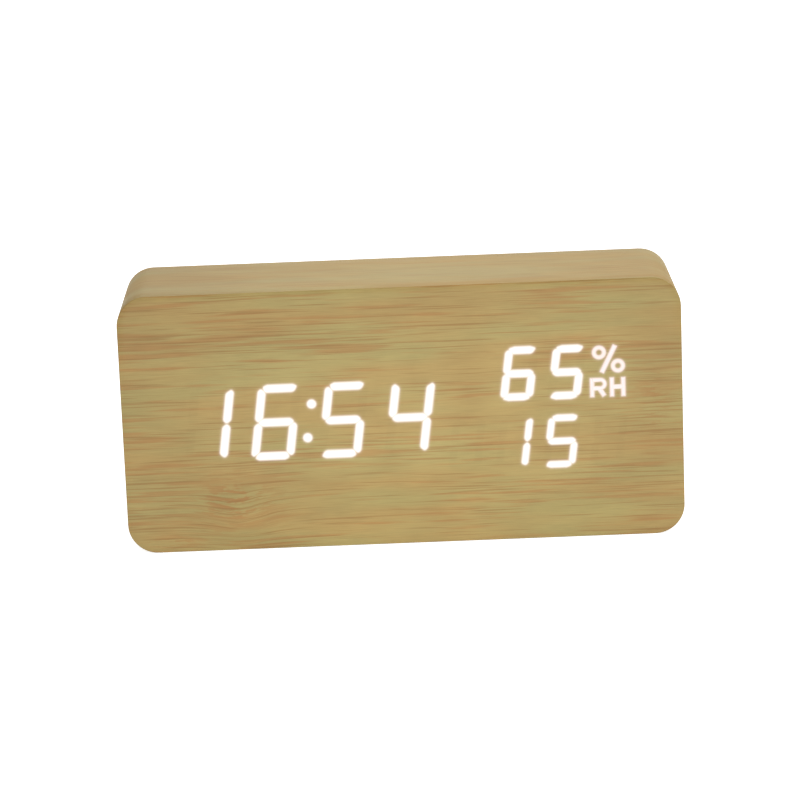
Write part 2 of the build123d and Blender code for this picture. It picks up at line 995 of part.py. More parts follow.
def cell_cradles():
    """Ribs on the bay's floor between the cells, so that each stays in its own lane."""
    return [
        block(
            bay_centre_x - cradle_length / 2,
            bay_centre_x + cradle_length / 2,
            bay_floor_y,
            bay_floor_y + cradle_height,
            (low + high) / 2 - cradle_thickness / 2,
            (low + high) / 2 + cradle_thickness / 2,
        )
        for low, high in zip(cell_rows, cell_rows[1:])
    ]


def contact_posts():
    """Posts on the bay's floor that hold the contact plates against its end walls."""
    reach = contact_width / 2 - post_overlap
    spans = [(bay_low_z, cell_rows[0] - reach)]
    spans += [(low + reach, high - reach) for low, high in zip(cell_rows, cell_rows[1:])]
    spans += [(cell_rows[-1] + reach, bay_high_z)]
    near = contact_thickness + post_clearance
    posts = []
    for z_low, z_high in spans:
        for x_low in (bay_low_x + near, bay_high_x - near - post_thickness):
            posts.append(
                block(x_low, x_low + post_thickness, bay_floor_y, bay_floor_y + post_height, z_low, z_high)
            )
    return posts


def locating_ribs():
    """Straight ribs inside the cover that fit the walls of the cavity, clear of the battery bay."""
    inner_y = cover_inner_y - cover_rib_depth
    half_width = cavity_width / 2 - cover_rib_clearance
    half_height = cavity_height / 2 - cover_rib_clearance
    straight_x = cavity_width / 2 - cavity_corner_radius
    straight_z = cavity_height / 2 - cavity_corner_radius
    ribs = []
    for side in (-1, 1):
        near_x, far_x = sorted((side * half_width, side * (half_width - cover_rib_thickness)))
        near_z, far_z = sorted((side * half_height, side * (half_height - cover_rib_thickness)))
        ribs.append(
            block(near_x, far_x, inner_y, cover_inner_y, middle_z - straight_z, middle_z + straight_z)
        )
        ribs.append(
            block(
                -straight_x,
                bay_low_x - bay_wall,
                inner_y,
                cover_inner_y,
                middle_z + near_z,
                middle_z + far_z,
            )
        )
    return ribs


def board_posts():
    """Square posts that carry the control board's four corners."""
    half = board_post_side / 2
    inset = board_post_inset + half
    return [
        block(x - half, x + half, control_board_rear_y, cover_inner_y, z - half, z + half)
        for x in (control_board_low_x + inset, control_board_high_x - inset)
        for z in (control_board_low_z + inset, control_board_high_z - inset)
    ]


def board_arm():
    """Snap arm for a board edge on the arm's own zero line, with its hook over the board's inner face."""
    inner = -board_arm_clearance
    outer = inner - board_arm_thickness
    tip_y = control_board_front_y - board_hook_height
    outline = Polygon(
        (cover_inner_y, outer),
        (cover_inner_y, inner),
        (control_board_front_y, inner),
        (control_board_front_y, board_hook_reach),
        (tip_y, inner),
        (tip_y, outer),
        align=None,
    )
    return side_slab(outline, -board_arm_width / 2, board_arm_width / 2)


def board_arms():
    """Four snap arms round the control board, one at the middle of each edge."""
    arm = board_arm()
    return [
        Pos(control_board_middle_x, 0, control_board_low_z) * arm,
        Pos(control_board_middle_x, 0, control_board_high_z) * arm.rotate(Axis.Y, 180),
        Pos(control_board_low_x, 0, middle_z) * arm.rotate(Axis.Y, 90),
        Pos(control_board_high_x, 0, middle_z) * arm.rotate(Axis.Y, -90),
    ]


def button_holes():
    """Round holes in the cover that guide the button caps."""
    return [
        disc(
            button_radius + button_hole_clearance,
            cover_inner_y - cut_overrun,
            cover_outer_y + cut_overrun,
            x,
            button_z,
        )
        for name, x in button_places
    ]


def slots(length, width, pitch, count, x, z):
    """Row of level slots right through the cover, one above the other."""
    return [
        block(
            x - length / 2,
            x + length / 2,
            cover_inner_y - cut_overrun,
            cover_outer_y + cut_overrun,
            z + (i - (count - 1) / 2) * pitch - width / 2,
            z + (i - (count - 1) / 2) * pitch + width / 2,
        )
        for i in range(count)
    ]


def rear_cover():
    """Black moulded cover: plate, ribs, battery bay, board mounts and all openings."""
    plate = rounded_slab(
        rebate_width - 2 * cover_clearance,
        rebate_height - 2 * cover_clearance,
        rebate_corner_radius - cover_clearance,
        cover_inner_y,
        cover_outer_y,
    )
    cover = plate + locating_ribs() + bay_tub() + board_posts() + board_arms()
    sound_slots = slots(
        sound_slot_length, sound_slot_width, sound_slot_pitch, sound_slot_count, sounder_x, sounder_z
    )
    vents = slots(vent_length, vent_width, vent_pitch, vent_count, sensor_x, sensor_z)
    microphone_hole = disc(
        microphone_hole_radius,
        cover_inner_y - cut_overrun,
        cover_outer_y + cut_overrun,
        microphone_x,
        microphone_z,
    )
    socket_half_width = socket_shell_width / 2 + socket_opening_clearance
    socket_half_height = socket_shell_height / 2 + socket_opening_clearance
    socket_hole = block(
        socket_x - socket_half_width,
        socket_x + socket_half_width,
        cover_inner_y - cut_overrun,
        cover_outer_y + cut_overrun,
        socket_z - socket_half_height,
        socket_z + socket_half_height,
    )
    screw_holes = [
        disc(
            cover_screw_shank_radius + screw_clearance,
            cover_inner_y - cut_overrun,
            cover_outer_y + cut_overrun,
            x,
            z,
        )
        for x, z in cover_screw_places
    ]
    cover = cover - bay_hollows() - button_holes() - sound_slots - vents
    cover = cover - microphone_hole - socket_hole - screw_holes
    return cover + cell_cradles() + contact_posts()


def cover_screws():
    """Four screws through the corners of the cover into the core."""
    return Compound(
        [
            pan_screw(
                x,
                z,
                cover_outer_y,
                cover_screw_tip_y,
                cover_screw_shank_radius,
                cover_screw_head_radius,
                cover_screw_head_height,
            )
            for x, z in cover_screw_places
        ]
    )


def latch_outline():
    """Side view of the sprung latch: down from the door, round, and up to the finger pad and hook."""
    leg_low_z = door_high_z + latch_wall_clearance
    leg_high_z = leg_low_z + latch_strip
    arm_low_z = leg_high_z + 2 * latch_bend_radius
    arm_high_z = arm_low_z + latch_strip
    bend_z = (leg_low_z + arm_high_z) / 2
    bend_outer = (arm_high_z - leg_low_z) / 2
    bend_y = latch_low_y + bend_outer
    pad_high_y = cover_outer_y - latch_pad_drop
    pad_low_y = pad_high_y - latch_pad_thickness
    hook_high_y = cover_inner_y - latch_nib_drop
    hook_low_y = hook_high_y - latch_nib_height
    half_turn = Pos(bend_y, bend_z) * Circle(bend_outer) - Pos(bend_y, bend_z) * Circle(latch_bend_radius)
    half_turn -= Pos(bend_y + bend_outer, bend_z) * Rectangle(2 * bend_outer, 2 * (bend_outer + cut_overrun))
    bridge = outline_box(door_inner_y, cover_outer_y, door_high_z, leg_high_z)
    leg = outline_box(bend_y, cover_outer_y, leg_low_z, leg_high_z)
    arm = outline_box(bend_y, pad_high_y, arm_low_z, arm_high_z)
    pad = outline_box(pad_low_y, pad_high_y, arm_low_z - latch_pad_height + latch_bend_radius, arm_high_z)
    hook = Polygon(
        (hook_low_y - latch_nib_reach, arm_high_z),
        (hook_high_y, arm_high_z),
        (hook_high_y, arm_high_z + latch_nib_reach),
        (hook_low_y, arm_high_z + latch_nib_reach),
        align=None,
    )
    return bridge + leg + half_turn + arm + pad + hook


def outline_box(y_low, y_high, z_low, z_high):
    """Rectangle in the side view."""
    return Pos((y_low + y_high) / 2, (z_low + z_high) / 2) * Rectangle(y_high - y_low, z_high - z_low)


def battery_door():
    """Door of the battery bay, with its tabs, latch, finger grooves and the ribs that press on the cells."""
    plate = rounded_slab(
        recess_width - 2 * door_clearance,
        door_high_z - door_low_z,
        door_corner_radius,
        door_inner_y,
        cover_outer_y,
        bay_centre_x,
    )
    tabs = [
        block(
            x - tab_width / 2,
            x + tab_width / 2,
            tab_foot_low_y,
            door_inner_y,
            door_low_z,
            door_low_z + tab_leg_thickness,
        )
        + block(
            x - tab_width / 2,
            x + tab_width / 2,
            tab_foot_low_y,
            tab_foot_high_y,
            door_low_z - tab_reach,
            door_low_z + tab_leg_thickness,
        )
        for x in tab_places
    ]
    latch = side_slab(latch_outline(), bay_centre_x - latch_width / 2, bay_centre_x + latch_width / 2)
    ribs = [
        block(
            bay_centre_x - press_rib_length / 2,
            bay_centre_x + press_rib_length / 2,
            door_inner_y - press_rib_height,
            door_inner_y,
            z - press_rib_thickness / 2,
            z + press_rib_thickness / 2,
        )
        for z in cell_rows
    ]
    grooves = [
        block(
            bay_centre_x - grip_groove_length / 2,
            bay_centre_x + grip_groove_length / 2,
            cover_outer_y - grip_groove_depth,
            cover_outer_y + cut_overrun,
            z - grip_groove_width / 2,
            z + grip_groove_width / 2,
        )
        for z in (door_high_z - grip_groove_edge - i * grip_groove_pitch for i in range(grip_groove_count))
    ]
    return plate + tabs + latch + ribs - grooves


def control_board():
    """Circuit board held on the cover's posts by its snap arms."""
    return block(
        control_board_low_x,
        control_board_high_x,
        control_board_front_y,
        control_board_rear_y,
        control_board_low_z,
        control_board_high_z,
    )


def button(x):
    """Round cap with a square flange that keeps it inside the cover."""
    half = button_flange_side / 2
    cap = disc(button_radius, button_flange_low_y, cover_outer_y + button_proud, x, button_z)
    return cap + block(
        x - half, x + half, button_flange_low_y, button_flange_high_y, button_z - half, button_z + half
    )


def square_pin(x, side, y_low, y_high):
    """Square bar behind a button."""
    return block(x - side / 2, x + side / 2, y_low, y_high, button_z - side / 2, button_z + side / 2)


def plunger(x):
    """Moving pin of a switch."""
    return square_pin(x, plunger_side, button_flange_low_y - plunger_length, button_flange_low_y)


def switch_bodies():
    """Three square push switches on the control board, each with a hole for its pin."""
    top_y = control_board_rear_y + switch_body_height
    hole_low_y = button_flange_low_y - plunger_length - plunger_free_depth
    hole_side = plunger_side + 2 * plunger_hole_clearance
    return Compound(
        [
            square_pin(x, switch_side, control_board_rear_y, top_y)
            - square_pin(x, hole_side, hole_low_y, top_y + cut_overrun)
            for name, x in button_places
        ]
    )


def socket_outline(inset):
    """Flat-topped outline with two cut corners, so that the plug fits one way up."""
    half_width = socket_shell_width / 2 - inset
    half_height = socket_shell_height / 2 - inset
    corner = socket_shell_chamfer
    return Polygon(
        (socket_x - half_width, socket_z + half_height),
        (socket_x - half_width, socket_z - half_height + corner),
        (socket_x - half_width + corner, socket_z - half_height),
        (socket_x + half_width - corner, socket_z - half_height),
        (socket_x + half_width, socket_z - half_height + corner),
        (socket_x + half_width, socket_z + half_height),
        align=None,
    )


def socket_shell():
    """Steel shell of the power socket, standing on the control board."""
    outside = slab(socket_outline(0), control_board_rear_y, socket_face_y)
    return outside - slab(socket_outline(socket_shell_wall), control_board_rear_y - cut_overrun, rear_y)


def socket_tongue():
    """Insulator at the foot of the power socket, with the tongue that the plug slides over."""
    base_high_y = control_board_rear_y + socket_base_depth
    base = slab(socket_outline(socket_shell_wall), control_board_rear_y, base_high_y)
    return base + block(
        socket_x - socket_tongue_width / 2,
        socket_x + socket_tongue_width / 2,
        control_board_rear_y,
        socket_face_y - socket_tongue_inset,
        socket_z - socket_tongue_thickness / 2 + socket_tongue_rise,
        socket_z + socket_tongue_thickness / 2 + socket_tongue_rise,
    )


def sounder():
    """Round sounder for the alarm."""
    return disc(
        sounder_radius, control_board_rear_y, control_board_rear_y + sounder_height, sounder_x, sounder_z
    )


def microphone():
    """Microphone that lets a clap wake the display."""
    return disc(
        microphone_radius,
        control_board_rear_y,
        control_board_rear_y + microphone_height,
        microphone_x,
        microphone_z,
    )


def climate_sensor():
    """Boxed temperature and humidity sensor with slots in its face."""
    top_y = control_board_rear_y + sensor_depth
    body = block(
        sensor_x - sensor_width / 2,
        sensor_x + sensor_width / 2,
        control_board_rear_y,
        top_y,
        sensor_z - sensor_height / 2,
        sensor_z + sensor_height / 2,
    )
    cuts = [
        block(
            sensor_x - sensor_width / 2 + sensor_slot_edge,
            sensor_x + sensor_width / 2 - sensor_slot_edge,
            top_y - sensor_slot_depth,
            top_y + cut_overrun,
            z - sensor_slot_width / 2,
            z + sensor_slot_width / 2,
        )
        for z in (
            sensor_z + (i - (sensor_slot_count - 1) / 2) * sensor_slot_pitch for i in range(sensor_slot_count)
        )
    ]
    return body - cuts


def mcu_chip():
    """Clock chip on the inner side of the control board."""
    chip = block(
        chip_x - chip_length / 2,
        chip_x + chip_length / 2,
        control_board_front_y - chip_height,
        control_board_front_y,
        chip_z - chip_width / 2,
        chip_z + chip_width / 2,
    )
    return chamfer(chip.edges().group_by(Axis.Y)[0], chip_edge)


def crystal():
    """Timing crystal: a small flat can on the board."""
    return block(
        chip_x - crystal_length / 2,
        chip_x + crystal_length / 2,
        control_board_front_y - crystal_height,
        control_board_front_y,
        crystal_z - crystal_width / 2,
        crystal_z + crystal_width / 2,
    )


def capacitor():
    """Upright capacitor on the inner side of the control board."""
    return disc(
        capacitor_radius,
        control_board_front_y - capacitor_height,
        control_board_front_y,
        capacitor_x,
        middle_z,
    )


PARTS = {
    "case_body": case_body,
    "front_veneer": front_veneer,
    "base_veneer": base_strip,
    "side_veneer": side_veneer,
    "rear_veneer": rear_veneer,
    "legend_film": legend_film,
    "segment_mask": segment_mask,
    "display_board": display_board,
    "led_chips": led_chips,
    "driver_chips": driver_chips,
    "display_screws": display_screws,
    "display_header": display_header,
    "ribbon_cable": ribbon_cable,
    "control_header": control_header,
    "control_board": control_board,
    "switch_bodies": switch_bodies,
    "socket_shell": socket_shell,
    "socket_tongue": socket_tongue,
    "sounder": sounder,
    "microphone": microphone,
    "climate_sensor": climate_sensor,
    "mcu_chip": mcu_chip,
    "crystal": crystal,
    "capacitor": capacitor,
    "lead_terminals": lead_terminals,
    "rear_cover": rear_cover,
    "cover_screws": cover_screws,
    "battery_door": battery_door,
    "negative_contact": negative_contact,
    "positive_contact": positive_contact,
    "low_link_contact": low_link_contact,
    "high_link_contact": high_link_contact,
    "battery_springs": battery_springs,
    "black_lead": black_lead,
    "red_lead": red_lead,
}

os.makedirs("parts", exist_ok=True)
for node_name, make_part in PARTS.items():
    export_step(make_part(), f"parts/{node_name}.step")
for cell_row in range(cell_count):
    export_step(battery_cell(cell_row), f"parts/battery_cell_{cell_row + 1}.step")
for button_name, button_x in button_places:
    export_step(button(button_x), f"parts/{button_name}_button.step")
    export_step(plunger(button_x), f"parts/{button_name}_plunger.step")
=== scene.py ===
"""Looks of a block-shaped desk clock in wood-effect veneer, whose digits glow through its front.

Lengths are written in millimetres and become metres when a mesh is made. X runs along the front,
Y from front to back and Z up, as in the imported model.
"""

import logging
import math
from abc import ABC, abstractmethod
from collections.abc import Iterable, Sequence
from dataclasses import dataclass
from enum import Enum

import bmesh
import bpy
import numpy as np
from mathutils import Matrix


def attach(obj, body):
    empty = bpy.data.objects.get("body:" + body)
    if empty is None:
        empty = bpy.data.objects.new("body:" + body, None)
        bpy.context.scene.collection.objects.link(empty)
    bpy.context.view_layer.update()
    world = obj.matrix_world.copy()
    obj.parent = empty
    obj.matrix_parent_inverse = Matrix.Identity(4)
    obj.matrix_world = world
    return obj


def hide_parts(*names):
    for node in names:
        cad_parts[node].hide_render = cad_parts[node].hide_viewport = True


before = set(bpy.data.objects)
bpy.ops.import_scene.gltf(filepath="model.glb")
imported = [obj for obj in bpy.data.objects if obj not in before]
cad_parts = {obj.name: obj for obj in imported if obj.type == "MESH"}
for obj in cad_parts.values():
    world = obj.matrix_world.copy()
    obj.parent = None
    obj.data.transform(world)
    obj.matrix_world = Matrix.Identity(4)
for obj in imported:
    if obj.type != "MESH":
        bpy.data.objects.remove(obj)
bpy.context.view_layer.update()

log = logging.getLogger("clock")
MM = 0.001
FULL_TURN = 2.0 * math.pi
QUARTER_TURN = math.pi / 2
TINY = 1e-9
Pair = tuple[float, float]
Triple = tuple[float, float, float]
Colour = tuple[float, float, float]
Socket = bpy.types.NodeSocket
BLACK: Colour = (0.0, 0.0, 0.0)
MOST_NOISE: Pair = (0.3, 0.7)


class Body(Enum):
    """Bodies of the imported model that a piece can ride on."""

    CLOCK = "clock"
    DOOR = "battery_door"
    SET = "set_button"
    UP = "up_button"
    DOWN = "down_button"


class Slot(Enum):
    """Material slots of the record, by name; the pieces made here don't use them."""

    FRONT_WOOD = "front_wood"
    CASE_WOOD = "case_wood"
    BLACK_PLASTIC = "black_plastic"
    LAMP_WHITE = "lamp_white"
    SCREW_STEEL = "screw_steel"
    CONTACT_STEEL = "contact_steel"
    CELL_WRAP = "cell_wrap"
    RED_WIRE = "red_wire"
    BLACK_WIRE = "black_wire"


class Grain(Enum):
    """Way that veneer lies on a piece."""

    FACE = "along X, across Z"
    PLAN = "along X, across Y"
    WRAP = "along the wrap, across Y"


@dataclass(frozen=True)
class NoiseLayer:
    """Smooth noise, by its features to the millimetre along each axis."""

    per_mm: Triple
    detail: float = 2.0
    roughness: float = 0.5
    shift: Triple = (0.0, 0.0, 0.0)


# Layers of the veneer's grain, where X runs along the fibres and Y across them.
SLOW_BEND = NoiseLayer((0.012, 0.035, 0.0), 1.0)
STEM_SWIRL = NoiseLayer((0.07, 0.22, 0.0), shift=(5.0, 0.0, 0.0))
ZONES = NoiseLayer((0.016, 0.10, 0.0), shift=(0.0, 3.0, 0.0))
CROWDING = NoiseLayer((0.018, 0.09, 0.0), 1.0, shift=(0.0, 7.0, 0.0))
MOTTLE = NoiseLayer((0.045, 0.13, 0.0), 3.0, 0.55, (0.0, 31.0, 0.0))
SOFT_STREAKS = NoiseLayer((0.036, 0.80, 0.0), shift=(0.0, 11.0, 0.0))
THIN_LINES = NoiseLayer((0.036, 1.9, 0.0), 1.0, shift=(0.0, 17.0, 0.0))
FIBRES = NoiseLayer((0.13, 4.4, 0.0), 2.0, 0.6, (0.0, 23.0, 0.0))
FLECKS = NoiseLayer((0.13, 1.0, 0.0), 3.0, 0.6, (0.0, 37.0, 0.0))
LIT_VEIL = NoiseLayer((0.2, 4.0, 0.0))

# Layers of the other finishes.
MOULD_HAZE = NoiseLayer((0.06, 0.06, 0.06), 3.0)
BOARD_SPECKS = NoiseLayer((1.6, 1.6, 1.6), 5.0, 0.7)
CUTTER_MARKS = NoiseLayer((0.08, 0.08, 0.08))
METAL_HAZE = NoiseLayer((0.15, 0.15, 0.15), 3.0)
GLASS_WEAVE = NoiseLayer((2.0, 2.0, 2.0))
JACKET_SCUFFS = NoiseLayer((0.9, 2.5, 2.5), 4.0, 0.6)
HANDLING_MARKS = NoiseLayer((0.5, 0.5, 0.2), 3.0)
FLOOR_SPECKLE = NoiseLayer((0.01, 0.01, 0.01))


def scaled(colour: Colour, factor: float) -> Colour:
    """Colour times a number, held at 1 in each channel."""
    return tuple(min(1.0, value * factor) for value in colour)


class ShaderGraph:
    """Node tree of one material, with the nodes that the finishes share."""

    def __init__(self, name: str) -> None:
        """Starts an empty tree.

        Args:
            name: name of the new material.
        """
        self.material = bpy.data.materials.new(name)
        self.material.use_nodes = True
        self.tree = self.material.node_tree
        self.tree.nodes.clear()
        self.output = self.tree.nodes.new("ShaderNodeOutputMaterial")

    def add(
        self, kind: str, inputs: dict[str | int, object] | None = None, **settings: object
    ) -> bpy.types.Node:
        """Adds a node.

        Args:
            kind: node type.
            inputs: socket or constant for each input, by its name or number.
            settings: properties to set on it.

        Returns:
            The node.
        """
        node = self.tree.nodes.new(kind)
        for key, value in settings.items():
            setattr(node, key, value)
        for key, value in (inputs or {}).items():
            self.feed(node.inputs[key], value)
        return node

    def feed(self, target: Socket, value: object) -> None:
        """Links a socket, or writes a constant on it.

        Args:
            target: input to fill.
            value: output socket, number or colour.
        """
        if isinstance(value, Socket):
            self.tree.links.new(value, target)
        else:
            target.default_value = value

    def show(self, shader: bpy.types.Node) -> None:
        """Joins a shader to the output."""
        self.feed(self.output.inputs["Surface"], shader.outputs[0])

    def object_vector(self) -> Socket:
        """Place on the piece, in metres."""
        return self.add("ShaderNodeTexCoord").outputs["Object"]

    def grain_vector(self, grain: Grain) -> Socket:
        """Place on the veneer: X along the fibres, Y across them.

        Args:
            grain: way that the veneer lies.

        Returns:
            Vector socket, in metres.
        """
        if grain is Grain.WRAP:
            return self.add("ShaderNodeUVMap", uv_map="veneer").outputs["UV"]
        parts = self.add("ShaderNodeSeparateXYZ", {0: self.object_vector()}).outputs
        across = parts["Z" if grain is Grain.FACE else "Y"]
        return self.add("ShaderNodeCombineXYZ", {"X": parts["X"], "Y": across}).outputs[0]

    def stretch(self, vector: Socket, per_mm: Triple, shift: Triple = (0.0, 0.0, 0.0)) -> Socket:
        """Scales a vector so that one unit is a feature.

        Args:
            vector: place in metres.
            per_mm: features to the millimetre along each axis.
            shift: shift in features.

        Returns:
            Scaled vector.
        """
        scale = [value / MM for value in per_mm]
        inputs = {"Vector": vector, "Scale": scale, "Location": shift}
        return self.add("ShaderNodeMapping", inputs).outputs[0]

    def layer(self, place: Socket, layer: NoiseLayer, offset: float = 0.0) -> Socket:
        """Smooth noise of a layer.

        Args:
            place: place in metres.
            layer: its features.
            offset: further shift along X, in features.

        Returns:
            Value from 0 to 1, mostly within MOST_NOISE.
        """
        x, y, z = layer.shift
        inputs = {
            "Vector": self.stretch(place, layer.per_mm, (x + offset, y, z)),
            "Scale": 1.0,
            "Detail": layer.detail,
            "Roughness": layer.roughness,
            "Distortion": 0.0,
        }
        return self.add("ShaderNodeTexNoise", inputs).outputs[0]

    def remap(
        self, value: Socket, low: float, high: float, to_low: float = 0.0, to_high: float = 1.0
    ) -> Socket:
        """Smooth step from one range to another, held at both ends.

        Args:
            value: input.
            low: input that gives to_low.
            high: input that gives to_high.
            to_low: result at and under low.
            to_high: result at and over high.

        Returns:
            Remapped value.
        """
        ends = {"From Min": low, "From Max": high, "To Min": to_low, "To Max": to_high}
        inputs = {"Value": value, **ends}
        return self.add("ShaderNodeMapRange", inputs, interpolation_type="SMOOTHSTEP").outputs[0]

    def math(self, operation: str, first: object, second: object = 0.0) -> Socket:
        """Arithmetic on two values."""
        return self.add("ShaderNodeMath", {0: first, 1: second}, operation=operation).outputs[0]

    def times(self, first: object, second: object) -> Socket:
        """Product of two values."""
        return self.math("MULTIPLY", first, second)

    def plus(self, first: object, second: object) -> Socket:
        """Sum of two values."""
        return self.math("ADD", first, second)

    def minus(self, first: object, second: object) -> Socket:
        """First value less the second."""
        return self.math("SUBTRACT", first, second)

    def mix(self, factor: object, first: object, second: object, blend: str = "MIX") -> Socket:
        """Blend of two colours.

        Args:
            factor: share of the second one.
            first: socket or colour.
            second: socket or colour.
            blend: way of blending.

        Returns:
            Colour socket.
        """
        ends = [(*end, 1.0) if isinstance(end, tuple) else end for end in (first, second)]
        inputs = {"Factor": factor, 6: ends[0], 7: ends[1]}
        return self.add("ShaderNodeMix", inputs, data_type="RGBA", blend_type=blend).outputs[2]

    def shaded(self, colour: Socket, factor: Socket) -> Socket:
        """Colour times a value."""
        inputs = {0: colour, "Scale": factor}
        return self.add("ShaderNodeVectorMath", inputs, operation="SCALE").outputs[0]

    def falloff(self, distance: Socket, reach: float) -> Socket:
        """exp(-distance / reach), and 1 where the distance is below zero."""
        held = self.math("MAXIMUM", distance, 0.0)
        return self.math("EXPONENT", self.times(held, -1.0 / reach))

    def attribute(self, name: str) -> Socket:
        """Value of a point attribute of the piece."""
        return self.add("ShaderNodeAttribute", attribute_name=name).outputs["Fac"]

    def bump(self, height: Socket, depth_mm: float, strength: float) -> Socket:
        """Normal of a surface with this relief."""
        inputs = {"Strength": strength, "Distance": depth_mm * MM, "Height": height}
        return self.add("ShaderNodeBump", inputs).outputs[0]

    def surface(
        self, colour: object, roughness: object, metallic: float = 0.0, **others: object
    ) -> None:
        """Main shader, joined to the output.

        Args:
            colour: socket or colour.
            roughness: socket or number.
            metallic: 1 for bare metal.
            others: further inputs by name, with spaces as underscores.
        """
        base = (*colour, 1.0) if isinstance(colour, tuple) else colour
        inputs = {"Base Color": base, "Roughness": roughness, "Metallic": metallic}
        inputs |= {key.replace("_", " "): value for key, value in others.items()}
        self.show(self.add("ShaderNodeBsdfPrincipled", inputs))

    def seen_directly(self) -> Socket:
        """1 on rays from the camera, mirrors and glass, and 0 on the rest.

        Returns:
            Value socket.
        """
        rays = self.add("ShaderNodeLightPath").outputs
        first = self.math("MAXIMUM", rays["Is Camera Ray"], rays["Is Glossy Ray"])
        return self.math("MAXIMUM", first, rays["Is Transmission Ray"])


class WorldGraph(ShaderGraph):
    """Node tree of the world."""

    def __init__(self, world: bpy.types.World) -> None:
        """Starts an empty tree in the world.

        Args:
            world: world to dress.
        """
        world.use_nodes = True
        self.tree = world.node_tree
        self.tree.nodes.clear()
        self.output = self.tree.nodes.new("ShaderNodeOutputWorld")


@dataclass(frozen=True)
class Finish(ABC):
    """Look of a material, which has the finish's name."""

    name: str

    @abstractmethod
    def paint(self, g: ShaderGraph) -> None:
        """Fills the material's tree."""


MADE: dict[Finish, bpy.types.Material] = {}


def material_of(finish: Finish) -> bpy.types.Material:
    """The one material of a finish.

    Args:
        finish: finish to look up.

    Returns:
        Its material, made on first use.
    """
    if finish not in MADE:
        graph = ShaderGraph(finish.name)
        finish.paint(graph)
        MADE[finish] = graph.material
    return MADE[finish]


